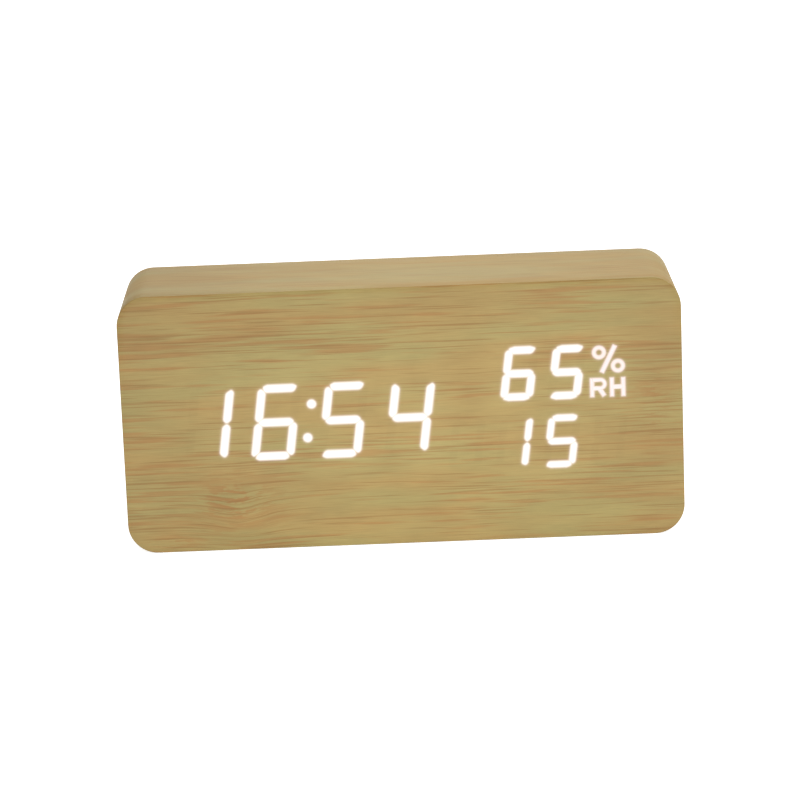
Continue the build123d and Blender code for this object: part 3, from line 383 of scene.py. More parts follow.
@dataclass(frozen=True)
class BambooFinish(Finish):
    """Bamboo-effect veneer: an olive to tan ground, reddish spindle-shaped streaks and brown lines.

    Each pair of steps holds the values between which a layer of noise fades in.
    """

    name: str = "bamboo_front"
    grain: Grain = Grain.FACE
    olive: Colour = (0.438, 0.350, 0.134)
    tan: Colour = (0.460, 0.318, 0.118)
    streak: Colour = (0.430, 0.212, 0.072)
    line: Colour = (0.345, 0.196, 0.066)
    streak_share: float = 0.57
    line_share: float = 0.66
    mottle: float = 0.03
    roughness: float = 0.5
    gloss: float = 0.3
    # Multiplies the colour by the tone attribute; on the wrap it holds painted shade.
    toned_and_shaded: bool = False
    display: bool = False
    shift: float = 0.0
    bend_mm: float = 1.5
    sag_mm: float = 2.3
    zone_steps: Pair = (0.36, 0.62)
    streak_steps: Pair = (0.52, 0.68)
    line_steps: Pair = (0.56, 0.70)
    fleck_steps: Pair = (0.47, 0.57)
    mottle_steps: Pair = (0.25, 0.75)
    fibre_shades: Pair = (0.94, 1.05)
    fleck_share: float = 1.45
    crowding: float = 0.35
    line_crowding: float = 0.6
    zone_weight: float = 0.11
    unlit_shade: float = -0.03
    # Painted shade: a little of this brown is mixed in where the rim attribute is high.
    edge_shade_share: float = 0.06
    edge_shade_brown: Colour = (0.26, 0.15, 0.06)
    halo: Colour = (0.30, 0.28, 0.34)
    halo_reach: float = 0.19
    spread: Colour = (0.030, 0.026, 0.012)

    def bent(self, g: ShaderGraph) -> Socket:
        """Place on the veneer after the fibres' slow bend, and their sag at a node of the stem.

        Args:
            g: tree to build in.

        Returns:
            Vector socket, in metres.
        """
        place = g.grain_vector(self.grain)
        wave = g.layer(place, SLOW_BEND, self.shift)
        bend = g.times(g.minus(wave, 0.5), self.bend_mm * MM)
        if self.display:
            sag = g.times(g.plus(g.layer(place, STEM_SWIRL), 0.5), self.sag_mm * MM)
            bend = g.plus(bend, g.times(sag, g.attribute("sag")))
        across = g.add("ShaderNodeCombineXYZ", {"Y": bend}).outputs[0]
        return g.add("ShaderNodeVectorMath", {0: place, 1: across}, operation="ADD").outputs[0]

    def paint(self, g: ShaderGraph) -> None:
        """Layers stretched noises along the fibres, from broad zones to single fibres.

        Args:
            g: tree to build in.
        """
        place = self.bent(g)
        zones, density, mottle, soft, thin, fibres = (
            g.layer(place, layer, self.shift)
            for layer in (ZONES, CROWDING, MOTTLE, SOFT_STREAKS, THIN_LINES, FIBRES)
        )
        crowd = g.times(g.minus(density, 0.5), self.crowding)
        if self.display:
            crowd = g.plus(crowd, g.times(g.attribute("streak_zone"), self.zone_weight))
        red = g.remap(g.plus(soft, crowd), *self.streak_steps)
        if self.display:
            red = self.flecked(g, place, red)
        dark = g.remap(g.plus(thin, g.times(crowd, self.line_crowding)), *self.line_steps)
        colour = g.mix(g.remap(zones, *self.zone_steps), self.olive, self.tan)
        colour = g.mix(g.times(red, self.streak_share), colour, self.streak)
        colour = g.mix(g.times(dark, self.line_share), colour, self.line)
        colour = g.shaded(colour, g.remap(fibres, *MOST_NOISE, *self.fibre_shades))
        uneven = 2.0 * self.mottle
        shade = g.remap(mottle, *self.mottle_steps, 1.0 - uneven, 1.0 + uneven)
        colour = g.shaded(colour, shade)
        relief = g.plus(g.times(fibres, 0.6), g.times(thin, -0.4))
        inputs = {"Normal": g.bump(relief, 0.02, 0.4), "IOR": 1.5, "Specular_IOR_Level": self.gloss}
        # The tone attribute: brightness patches on the front, painted shade at the wrap's top
        # corners.
        if self.toned_and_shaded:
            colour = g.shaded(colour, g.attribute("tone"))
        if self.display:
            colour = self.lit(g, colour, inputs)
        gloss = g.remap(zones, *MOST_NOISE, self.roughness - 0.04, self.roughness + 0.05)
        g.surface(colour, gloss, **inputs)

    def flecked(self, g: ShaderGraph, place: Socket, red: Socket) -> Socket:
        """Streaks that give way to short flecks at a node of the stem.

        Args:
            g: tree to build in.
            place: place on the veneer.
            red: strength of the streaks.

        Returns:
            Strength of the streaks and flecks together.
        """
        flecks = g.layer(place, FLECKS, self.shift)
        flecks = g.remap(flecks, *self.fleck_steps, 0.0, self.fleck_share)
        share = g.math("MINIMUM", g.attribute("stem_node"), 1.0)
        streaks = g.times(red, g.minus(1.0, share))
        return g.math("MAXIMUM", streaks, g.times(flecks, share))

    def lit(self, g: ShaderGraph, colour: Socket, inputs: dict[str, object]) -> Socket:
        """Marks of the display: faint unlit segments, a browner rim of painted shade, the halo and
        the spread light.

        Args:
            g: tree to build in.
            colour: colour of the veneer.
            inputs: inputs of the main shader, to which the gloss and the light are added.

        Returns:
            Colour of the veneer over the display.
        """
        # The rim attribute holds painted shade along the front's outline and rounded edge.
        rim = g.attribute("rim")
        colour = g.shaded(colour, g.plus(g.times(g.attribute("unlit"), self.unlit_shade), 1.0))
        halo = g.mix(g.falloff(g.attribute("to_lit"), self.halo_reach), BLACK, self.halo)
        spread = g.mix(g.attribute("spread"), BLACK, self.spread)
        inputs["Specular_IOR_Level"] = g.times(g.minus(1.0, rim), self.gloss)
        inputs["Emission_Color"] = g.mix(1.0, halo, spread, "ADD")
        inputs["Emission_Strength"] = 1.0
        # Painted shade: the rim darkens the veneer towards a brown.
        return g.mix(g.times(rim, self.edge_shade_share), colour, self.edge_shade_brown)


@dataclass(frozen=True)
class GlowFinish(Finish):
    """Light of a segment that comes through the veneer: warm at the outline and white inside.

    Each channel is core - (core - edge) * exp(-depth / reach).
    """

    name: str = "segment_glow"
    core: Colour = (1.0, 0.995, 0.985)
    edge: Colour = (0.73, 0.60, 0.44)
    reach_mm: Triple = (0.16, 0.22, 0.29)
    skin: Colour = (0.03, 0.03, 0.03)

    def paint(self, g: ShaderGraph) -> None:
        """Emission by depth inside the outline, with a faint grain of the veneer in it.

        Args:
            g: tree to build in.
        """
        depth = g.attribute("depth")
        channels = {}
        for index, name in enumerate(("Red", "Green", "Blue")):
            core = self.core[index]
            faded = g.times(g.falloff(depth, self.reach_mm[index]), core - self.edge[index])
            channels[name] = g.minus(core, faded)
        light = g.add("ShaderNodeCombineColor", channels).outputs[0]
        veil = g.layer(g.grain_vector(Grain.FACE), LIT_VEIL)
        strength = g.remap(veil, *MOST_NOISE, 0.975, 1.0)
        g.surface(self.skin, 0.6, Emission_Color=light, Emission_Strength=strength)


@dataclass(frozen=True)
class MouldedFinish(Finish):
    """Moulded plastic with a fine spark-eroded grain and slightly uneven gloss."""

    colour: Colour
    roughness: float = 0.5
    grain_mm: float = 0.25
    depth_mm: float = 0.02
    variation: float = 0.12

    def paint(self, g: ShaderGraph) -> None:
        """Small round cells for the relief, and broad noise for the tone and gloss.

        Args:
            g: tree to build in.
        """
        place = g.object_vector()
        per_mm = 1.0 / self.grain_mm
        inputs = {"Vector": g.stretch(place, (per_mm, per_mm, per_mm)), "Scale": 1.0}
        cells = g.add("ShaderNodeTexVoronoi", inputs, feature="SMOOTH_F1").outputs["Distance"]
        haze = g.layer(place, MOULD_HAZE)
        dark, light = (scaled(self.colour, 1.0 + way * self.variation) for way in (-1.0, 1.0))
        colour = g.mix(g.remap(haze, 0.35, 0.65), dark, light)
        roughness = g.remap(haze, *MOST_NOISE, self.roughness - 0.05, self.roughness + 0.06)
        g.surface(colour, roughness, Normal=g.bump(cells, self.depth_mm, 0.6))


@dataclass(frozen=True)
class FibreboardFinish(Finish):
    """Routed fibreboard: brown, matt, with pale specks of fibre."""

    name: str = "routed_fibreboard"
    ground: Colour = (0.30, 0.19, 0.11)
    speck: Colour = (0.48, 0.35, 0.22)
    scorched: Colour = (0.2, 0.12, 0.07)

    def paint(self, g: ShaderGraph) -> None:
        """Two noises: specks of fibre and cutter marks.

        Args:
            g: tree to build in.
        """
        place = g.object_vector()
        specks = g.layer(place, BOARD_SPECKS)
        colour = g.mix(g.remap(specks, 0.42, 0.68), self.ground, self.speck)
        colour = g.mix(g.times(g.layer(place, CUTTER_MARKS), 0.25), colour, self.scorched)
        g.surface(colour, 0.9, Normal=g.bump(specks, 0.06, 0.5))


@dataclass(frozen=True)
class PlatedFinish(Finish):
    """Plated steel or a drawn can, brushed one way."""

    colour: Colour
    roughness: float
    brushed: Triple = (0.2, 6.0, 6.0)

    def paint(self, g: ShaderGraph) -> None:
        """Stretched noise for the brush marks and a broad one for the haze.

        Args:
            g: tree to build in.
        """
        place = g.object_vector()
        marks = g.layer(place, NoiseLayer(self.brushed, 3.0, 0.6))
        haze = g.remap(g.layer(place, METAL_HAZE), 0.35, 0.7)
        colour = g.mix(haze, self.colour, scaled(self.colour, 0.82))
        roughness = g.remap(marks, *MOST_NOISE, self.roughness - 0.06, self.roughness + 0.12)
        g.surface(colour, roughness, 1.0, Normal=g.bump(marks, 0.008, 0.4))


@dataclass(frozen=True)
class BoardFinish(Finish):
    """Circuit board: green mask over copper tracks."""

    name: str = "circuit_board"
    mask: Colour = (0.012, 0.105, 0.040)
    track: Colour = (0.030, 0.190, 0.075)
    tracks_per_mm: Triple = (0.11, 0.55, 0.0)

    def paint(self, g: ShaderGraph) -> None:
        """The joints of a brick pattern stand for runs of parallel tracks.

        Args:
            g: tree to build in.
        """
        inputs = {
            "Vector": g.stretch(g.grain_vector(Grain.FACE), self.tracks_per_mm),
            "Scale": 1.0,
            "Mortar Size": 0.12,
            "Mortar Smooth": 0.15,
            "Color1": (*BLACK, 1.0),
            "Color2": (*BLACK, 1.0),
            "Mortar": (1.0, 1.0, 1.0, 1.0),
        }
        bricks = g.add("ShaderNodeTexBrick", inputs, offset=0.37, squash=1.0)
        tracks = bricks.outputs["Color"]
        weave = g.layer(g.object_vector(), GLASS_WEAVE)
        roughness = g.remap(weave, *MOST_NOISE, 0.24, 0.36)
        colour = g.mix(tracks, self.mask, self.track)
        g.surface(colour, roughness, Normal=g.bump(tracks, 0.03, 0.5), IOR=1.5)


@dataclass(frozen=True)
class JacketFinish(Finish):
    """Jacket of a dry cell: a dark body, a coloured shoulder and a thin pale line between them."""

    shift: float
    body: Colour = (0.035, 0.045, 0.070)
    shoulder: Colour = (0.42, 0.20, 0.065)
    line: Colour = (0.70, 0.70, 0.68)
    scuff: Colour = (0.4, 0.4, 0.4)
    metal: Colour = (0.62, 0.62, 0.60)

    def paint(self, g: ShaderGraph) -> None:
        """Bands by an attribute that runs from 0 at the cell's flat end to 1 at its raised end.

        Args:
            g: tree to build in.
        """
        along = g.attribute("along")
        scuffs = g.layer(g.object_vector(), JACKET_SCUFFS, self.shift)
        colour = g.mix(g.remap(along, 0.718, 0.720), self.body, self.line)
        colour = g.mix(g.remap(along, 0.734, 0.736), colour, self.shoulder)
        colour = g.mix(g.remap(scuffs, 0.66, 0.84, 0.0, 0.2), colour, self.scuff)
        colour = g.mix(g.attribute("bare"), colour, self.metal)
        g.surface(colour, g.remap(scuffs, 0.3, 0.8, 0.26, 0.36), 0.5)


@dataclass(frozen=True)
class RibbonFinish(Finish):
    """Flat ribbon cable with a rib over each conductor."""

    name: str = "ribbon_cable"
    colour: Colour = (0.42, 0.42, 0.44)
    pitch_mm: float = 1.25

    def paint(self, g: ShaderGraph) -> None:
        """Ribs from a sine along X, with painted shade in the grooves between them, and noise for
        the handling marks.

        Args:
            g: tree to build in.
        """
        x = g.add("ShaderNodeSeparateXYZ", {0: g.object_vector()}).outputs["X"]
        ribs_and_groove_shade = g.remap(g.math("SINE", g.times(x, FULL_TURN / (self.pitch_mm * MM))), -1.0, 1.0)
        marks = g.layer(g.object_vector(), HANDLING_MARKS)
        # Painted shade: the grooves between the raised conductors are darkened to 0.6 of the
        # colour.
        colour = g.mix(ribs_and_groove_shade, scaled(self.colour, 0.6), self.colour)
        roughness = g.remap(marks, *MOST_NOISE, 0.45, 0.6)
        g.surface(colour, roughness, Normal=g.bump(ribs_and_groove_shade, 0.15, 0.6))


@dataclass(frozen=True)
class FloorFinish(Finish):
    """White studio floor that keeps a faint contact shadow."""

    name: str = "studio_floor"
    base: float = 0.78
    dim: Colour = (0.80, 0.80, 0.80)
    bright: Colour = (0.82, 0.82, 0.82)

    def paint(self, g: ShaderGraph) -> None:
        """White seen by the camera and by mirrors as a constant plus the light that falls on it.

        Args:
            g: tree to build in.
        """
        speckle = g.remap(g.layer(g.object_vector(), FLOOR_SPECKLE), *MOST_NOISE)
        white = g.mix(speckle, self.dim, self.bright)
        diffuse = g.add("ShaderNodeBsdfDiffuse", {"Color": white}).outputs[0]
        light = g.add("ShaderNodeEmission", {"Strength": self.base}).outputs[0]
        both = g.add("ShaderNodeAddShader", {0: diffuse, 1: light}).outputs[0]
        g.show(g.add("ShaderNodeMixShader", {0: g.seen_directly(), 1: diffuse, 2: both}))


SHARP_DEGREES = 32.0
BEVEL_DEGREES = 40.0
BEVEL_SEGMENTS = 2
FLAT_DEGREES = 0.5
MERGE_METRES = 2e-6


def grid_quads(rows: int, columns: int, wrap: bool = False, start: int = 0) -> np.ndarray:
    """Quads of a grid of points, row after row.

    Args:
        rows: number of rows.
        columns: points in a row.
        wrap: whether each row closes on itself.
        start: index of the first point.

    Returns:
        Array of four indices to a quad.
    """
    row = np.arange(rows - 1)[:, None]
    column = np.arange(columns if wrap else columns - 1)[None, :]
    after = (column + 1) % columns
    corners = (row * columns + column, row * columns + after, (row + 1) * columns + after)
    quads = np.stack(np.broadcast_arrays(*corners, (row + 1) * columns + column), -1)
    return quads.reshape(-1, 4) + start


def closed_quads(rings: int, around: int) -> list[list[int]]:
    """Quads of a stack of closed rings whose last ring joins the first one again."""
    return (grid_quads(rings + 1, around, wrap=True) % (rings * around)).tolist()


@dataclass
class Shape:
    """Mesh data that is still in arrays, in millimetres."""

    points: np.ndarray
    faces: list[list[int]]


def stacked_rings(rings: np.ndarray) -> Shape:
    """Closed skin over a stack of rings: quads from ring to ring, and a flat face at each end.

    Args:
        rings: array of rings by points by 3.

    Returns:
        The shape.
    """
    count, around = rings.shape[:2]
    faces = grid_quads(count, around, wrap=True).tolist()
    first = list(range(around))[::-1]
    last = list(range((count - 1) * around, count * around))
    return Shape(rings.reshape(-1, 3), [*faces, first, last])


def joined_shapes(shapes: Iterable[Shape]) -> Shape:
    """Several shapes in one.

    Args:
        shapes: shapes to join.

    Returns:
        One shape.
    """
    items = list(shapes)
    starts = np.cumsum([0] + [len(item.points) for item in items[:-1]])
    faces = [
        [index + int(start) for index in face]
        for item, start in zip(items, starts)
        for face in item.faces
    ]
    return Shape(np.vstack([item.points for item in items]), faces)


def unit(vectors: np.ndarray) -> np.ndarray:
    """Vectors of length 1 along the given ones, one to a row."""
    return vectors / np.maximum(np.linalg.norm(vectors, axis=-1, keepdims=True), TINY)


def arc(start: float, end: float, count: int, whole: bool = True) -> np.ndarray:
    """Points of the unit circle between two angles, as (cos a, sin a).

    Args:
        start: first angle.
        end: last angle.
        count: number of points.
        whole: whether the last angle has a point too.

    Returns:
        One point to a row.
    """
    angle = np.linspace(start, end, count, endpoint=whole)
    return np.column_stack([np.cos(angle), np.sin(angle)])


def circle(count: int) -> np.ndarray:
    """Points of the whole unit circle, one to a row, as (cos a, sin a)."""
    return arc(0.0, FULL_TURN, count, False)


def turned(profile: Sequence[Pair], around: int) -> np.ndarray:
    """Rings of a profile that is turned round an axis: x = r cos a, y = r sin a, z = height.

    Args:
        profile: radius and height of each ring, from one end to the other.
        around: points to a ring.

    Returns:
        Rings about the Z axis.
    """
    radius, height = np.array(profile, float).T
    rings = np.empty((len(radius), around, 3))
    rings[..., :2] = radius[:, None, None] * circle(around)
    rings[..., 2] = height[:, None]
    return rings


def facing_back(rings: np.ndarray, x: float, y: float, z: float) -> np.ndarray:
    """Turns an upright shape so that its height runs along Y, and moves it."""
    return np.stack([rings[..., 0] + x, rings[..., 2] + y, z - rings[..., 1]], -1)


def at_depth(outline: np.ndarray, y: float) -> np.ndarray:
    """Points of an X and Z outline, all at one depth."""
    return np.column_stack([outline[:, 0], np.full(len(outline), y), outline[:, 1]])


def rounded_polygon(points: np.ndarray, radius: float, steps: int = 5) -> np.ndarray:
    """Polygon whose corners are parabolas between points a tangent's length before and after them.

    Args:
        points: corners, one row each.
        radius: wanted radius.
        steps: points to a corner.

    Returns:
        Denser polygon.
    """
    before, after = np.roll(points, 1, 0) - points, np.roll(points, -1, 0) - points
    length_before = np.linalg.norm(before, axis=1, keepdims=True)
    length_after = np.linalg.norm(after, axis=1, keepdims=True)
    before, after = before / length_before, after / length_after
    half_angle = np.arccos(np.clip((before * after).sum(1, keepdims=True), -1.0, 1.0)) / 2.0
    reach = radius / np.maximum(np.tan(half_angle), 1e-6)
    reach = np.minimum(reach, 0.48 * np.minimum(length_before, length_after))
    t = np.linspace(0.0, 1.0, steps)[None, :, None]
    start, end = (points + before * reach)[:, None, :], (points + after * reach)[:, None, :]
    curve = (1 - t) ** 2 * start + 2 * t * (1 - t) * points[:, None, :] + t**2 * end
    return curve.reshape(-1, 2)


def inset_outline(outline: np.ndarray, distance: float) -> np.ndarray:
    """Outline moved inwards along the mean normal of its two edges at each point.

    Args:
        outline: counter-clockwise points.
        distance: how far.

    Returns:
        Moved points.
    """
    edge = np.roll(outline, -1, 0) - outline
    normal = unit(np.stack([-edge[:, 1], edge[:, 0]], -1))
    return outline + unit(normal + np.roll(normal, 1, 0)) * distance


def plate_shape(outline: np.ndarray, depths: Sequence[float], insets: Sequence[float]) -> Shape:
    """Plate in the front plane, as a stack of outlines with their own depth and inset."""
    rings = [at_depth(inset_outline(outline, inset), y) for y, inset in zip(depths, insets)]
    return stacked_rings(np.array(rings))


def rounded_rectangle(
    half_width: float, half_height: float, radius: float, steps: int = 14
) -> np.ndarray:
    """Counter-clockwise outline of a rounded rectangle about zero: four quarter circles.

    Args:
        half_width: half of its width.
        half_height: half of its height.
        radius: corner radius.
        steps: points to a corner.

    Returns:
        X and Z of each point.
    """
    angle = np.linspace(0.0, QUARTER_TURN, steps)
    corners = []
    for turn, side in enumerate(((1, 1), (-1, 1), (-1, -1), (1, -1))):
        a = angle + turn * QUARTER_TURN
        centre = (side[0] * (half_width - radius), side[1] * (half_height - radius))
        corners.append(np.column_stack([np.cos(a), np.sin(a)]) * radius + centre)
    return np.vstack(corners)


def tube_along(path: np.ndarray, radius: float, around: int) -> np.ndarray:
    """Rings of a tube about a path: each ring is square to the path's direction there.

    Args:
        path: points in order.
        radius: of the tube.
        around: points to a ring.

    Returns:
        Rings.
    """
    along = unit(np.gradient(path, axis=0))
    steep = np.abs(along[:, :1]) >= 0.9
    helper = np.where(steep, np.array([[0.0, 0.0, 1.0]]), np.array([[1.0, 0.0, 0.0]]))
    side = unit(np.cross(along, helper))
    up = np.cross(along, side)
    cos, sin = circle(around).T[:, None, :, None]
    return path[:, None, :] + radius * (cos * side[:, None, :] + sin * up[:, None, :])


def placed(name: str, data: bpy.types.ID) -> bpy.types.Object:
    """New object in the scene.

    Args:
        name: its name.
        data: mesh, light or camera.

    Returns:
        The object.
    """
    made = bpy.data.objects.new(name, data)
    bpy.context.scene.collection.objects.link(made)
    return made


def smooth(mesh: bpy.types.Mesh, sharp_degrees: float = SHARP_DEGREES) -> None:
    """Shades a mesh smooth, but for edges with a sharper turn."""
    mesh.polygons.foreach_set("use_smooth", np.ones(len(mesh.polygons), bool))
    mesh.set_sharp_from_angle(angle=math.radians(sharp_degrees))


def write_field(mesh: bpy.types.Mesh, name: str, values: np.ndarray) -> None:
    """Writes a point attribute that a finish reads."""
    field = mesh.attributes.new(name, "FLOAT", "POINT")
    field.data.foreach_set("value", values.astype(np.float32))


def dressed(
    name: str,
    mesh: bpy.types.Mesh,
    body: Body,
    finish: Finish,
    replaces: Sequence[str] = (),
) -> bpy.types.Object:
    """Makes an object of a mesh, gives it its finish and says what it rides on and replaces.

    Args:
        name: name of the piece.
        mesh: mesh of its own.
        body: body that it rides on.
        finish: its look.
        replaces: CAD nodes that it stands for.

    Returns:
        The object.
    """
    piece = placed(name, mesh)
    mesh.materials.clear()
    mesh.materials.append(material_of(finish))
    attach(piece, body.value)
    if replaces:
        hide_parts(*replaces)
    log.info("%s: %d faces", piece.name, len(mesh.polygons))
    return piece


def make_piece(
    name: str,
    shape: Shape,
    body: Body,
    finish: Finish,
    replaces: Sequence[str] = (),
    sharp_degrees: float = SHARP_DEGREES,
) -> bpy.types.Object:
    """Turns a closed shape into a finished piece that rides on a body.

    Args:
        name: name of the piece.
        shape: its points in millimetres, and its faces.
        body: body that it rides on.
        finish: its look.
        replaces: CAD nodes that it stands for.
        sharp_degrees: edges with a sharper turn stay sharp.

    Returns:
        The object.
    """
    mesh = bpy.data.meshes.new(name)
    mesh.from_pydata((shape.points * MM).tolist(), [], shape.faces)
    mesh.validate()
    work = bmesh.new()
    work.from_mesh(mesh)
    bmesh.ops.recalc_face_normals(work, faces=work.faces)
    work.to_mesh(mesh)
    work.free()
    smooth(mesh, sharp_degrees)
    return dressed(name, mesh, body, finish, replaces)


def refined_copy(
    node: str, name: str, body: Body, finish: Finish, edge_mm: float
) -> bpy.types.Object:
    """Copy of a CAD node with its triangles merged and its edges rounded, in the node's place.

    Args:
        node: CAD node.
        name: name of the copy.
        body: body that it rides on.
        finish: its look.
        edge_mm: width of the rounding.

    Returns:
        The copy.
    """
    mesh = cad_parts[node].data.copy()
    mesh.name = name
    work = bmesh.new()
    work.from_mesh(mesh)
    bmesh.ops.remove_doubles(work, verts=work.verts, dist=MERGE_METRES)
    flat = math.radians(FLAT_DEGREES)
    bmesh.ops.dissolve_limit(work, angle_limit=flat, verts=work.verts, edges=work.edges)
    work.to_mesh(mesh)
    work.free()
    smooth(mesh)
    piece = dressed(name, mesh, body, finish, (node,))
    bevel = piece.modifiers.new("edges", "BEVEL")
    bevel.width = edge_mm * MM
    bevel.segments = BEVEL_SEGMENTS
    bevel.limit_method = "ANGLE"
    bevel.angle_limit = math.radians(BEVEL_DEGREES)
    bevel.harden_normals = True
    bevel.use_clamp_overlap = True
    return piece


def dress_nodes(finish: Finish, *nodes: str) -> None:
    """Gives CAD nodes that stay their finish.

    Args:
        finish: look.
        nodes: their names.
    """
    for name in nodes:
        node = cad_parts[name]
        if not node.data.materials:
            node.data.materials.append(material_of(finish))
        for place in node.material_slots:
            place.material = material_of(finish)
        log.info("%s: dressed", name)


class Segment(Enum):
    """Segments of a digit, by their usual letters."""

    A = "a"
    B = "b"
    C = "c"
    D = "d"
    E = "e"
    F = "f"
    G = "g"


class Reading(Enum):
    """Figures that the display shows, as the letters of their lit segments."""

    BLANK = ""
    ONE = "bc"
    FOUR = "fgbc"
    FIVE = "afgcd"
    SIX = "afgedc"


@dataclass(frozen=True)
class DigitStyle:
    """Sizes of one kind of digit, and the corners that its segments are rounded from.

    The rounding pulls every corner in, so some of the corners lie beyond the stroke's own end.
    """

    half_width: float
    half_height: float
    stroke: float
    bar_cut: float
    bar_tip: float
    bar_foot: float
    post_cut: float
    post_tip: float
    post_foot: float
    waist_shoulder: float
    waist_tip: float
    middle_tip: float
    slant: float = 0.143
    rounding: float = 1.6

    def outline(self, segment: Segment, x: float, z: float) -> np.ndarray:
        """Rounded outline of a segment: a six-sided bar, sheared by the slant.

        Args:
            segment: which one.
            x: digit's centre.
            z: digit's centre.

        Returns:
            Counter-clockwise X and Z.
        """
        width, half = self.half_width, self.stroke / 2
        inner, outer = width - half, width + half
        low, high = self.half_height - half, self.half_height + half
        bar_tip = width + half / 2 - self.bar_tip
        bar = [
            (inner - self.bar_foot, low),
            (bar_tip, high - half / 2),
            (outer - self.bar_cut, high),
        ]
        bar += [(-side, up) for side, up in reversed(bar)]
        post = [
            (-inner, low - self.post_foot),
            (-width - 0.3 * half, high - self.post_tip),
            (-outer, high - self.post_cut),
            (-outer, half + self.waist_shoulder),
            (-width, self.waist_tip),
            (-inner, half + self.waist_shoulder),
        ]
        middle_tip, middle_end = width - self.middle_tip, inner - self.middle_tip
        middle = [(-middle_tip, 0.0), (-middle_end, -half), (middle_end, -half)]
        middle += [(-side, -up) for side, up in middle]
        shape, across, up = {
            Segment.A: (bar, 1, 1),
            Segment.B: (post, -1, 1),
            Segment.C: (post, -1, -1),
            Segment.D: (bar, 1, -1),
            Segment.E: (post, 1, -1),
            Segment.F: (post, 1, 1),
            Segment.G: (middle, 1, 1),
        }[segment]
        points = np.array(shape) * (across, up)
        if across != up:
            points = points[::-1].copy()
        points[:, 0] += self.slant * points[:, 1]
        return rounded_polygon(points, self.rounding) + (x, z)


@dataclass(frozen=True)
class Digit:
    """One digit of the display and what it shows."""

    name: str
    style: DigitStyle
    x: float
    z: float
    reading: Reading

    def outlines(self, lit: bool) -> list[np.ndarray]:
        """Outlines of its lit or unlit segments.

        Args:
            lit: which of the two.

        Returns:
            One outline to a segment.
        """
        return [
            self.style.outline(segment, self.x, self.z)
            for segment in Segment
            if (segment.value in self.reading.value) is lit
        ]


@dataclass(frozen=True)
class Stroke:
    """Straight stroke of a sign, with slightly rounded ends."""

    start: Pair
    end: Pair
    width: float
    rounding: float = 0.18

    def outline(self) -> np.ndarray:
        """Outline of the stroke: a thin rectangle along it, with rounded corners.

        Returns:
            Counter-clockwise X and Z.
        """
        a, b = np.array(self.start), np.array(self.end)
        along = (b - a) / np.linalg.norm(b - a)
        side = np.array([-along[1], along[0]]) * self.width / 2
        return rounded_polygon(np.array([a - side, b - side, b + side, a + side]), self.rounding, 4)


LARGE = DigitStyle(
    half_width=4.67, half_height=9.28, stroke=2.40,
    bar_cut=2.38, bar_tip=0.55, bar_foot=-0.60,
    post_cut=1.78, post_tip=1.00, post_foot=-0.35,
    waist_shoulder=-0.35, waist_tip=-0.20, middle_tip=-0.42,
)
HUMIDITY = DigitStyle(
    half_width=3.37, half_height=6.38, stroke=2.27,
    bar_cut=2.38, bar_tip=0.05, bar_foot=-0.70,
    post_cut=1.62, post_tip=0.80, post_foot=-1.00,
    waist_shoulder=-0.50, waist_tip=-0.42, middle_tip=-0.80, slant=0.138,
)
DEGREES = DigitStyle(
    half_width=3.39, half_height=6.40, stroke=2.04,
    bar_cut=2.22, bar_tip=0.32, bar_foot=-0.75,
    post_cut=1.48, post_tip=0.85, post_foot=-0.60,
    waist_shoulder=-0.18, waist_tip=-0.16, middle_tip=-0.65, slant=0.140,
)
SIGN_GLOW = GlowFinish("sign_glow", (1.0, 0.90, 0.89), (0.73, 0.56, 0.46))
FAR = 99.0


@dataclass
class Plate:
    """Thin glowing plate, and the depth of each of its points inside the lit area."""

    shape: Shape
    depth: np.ndarray


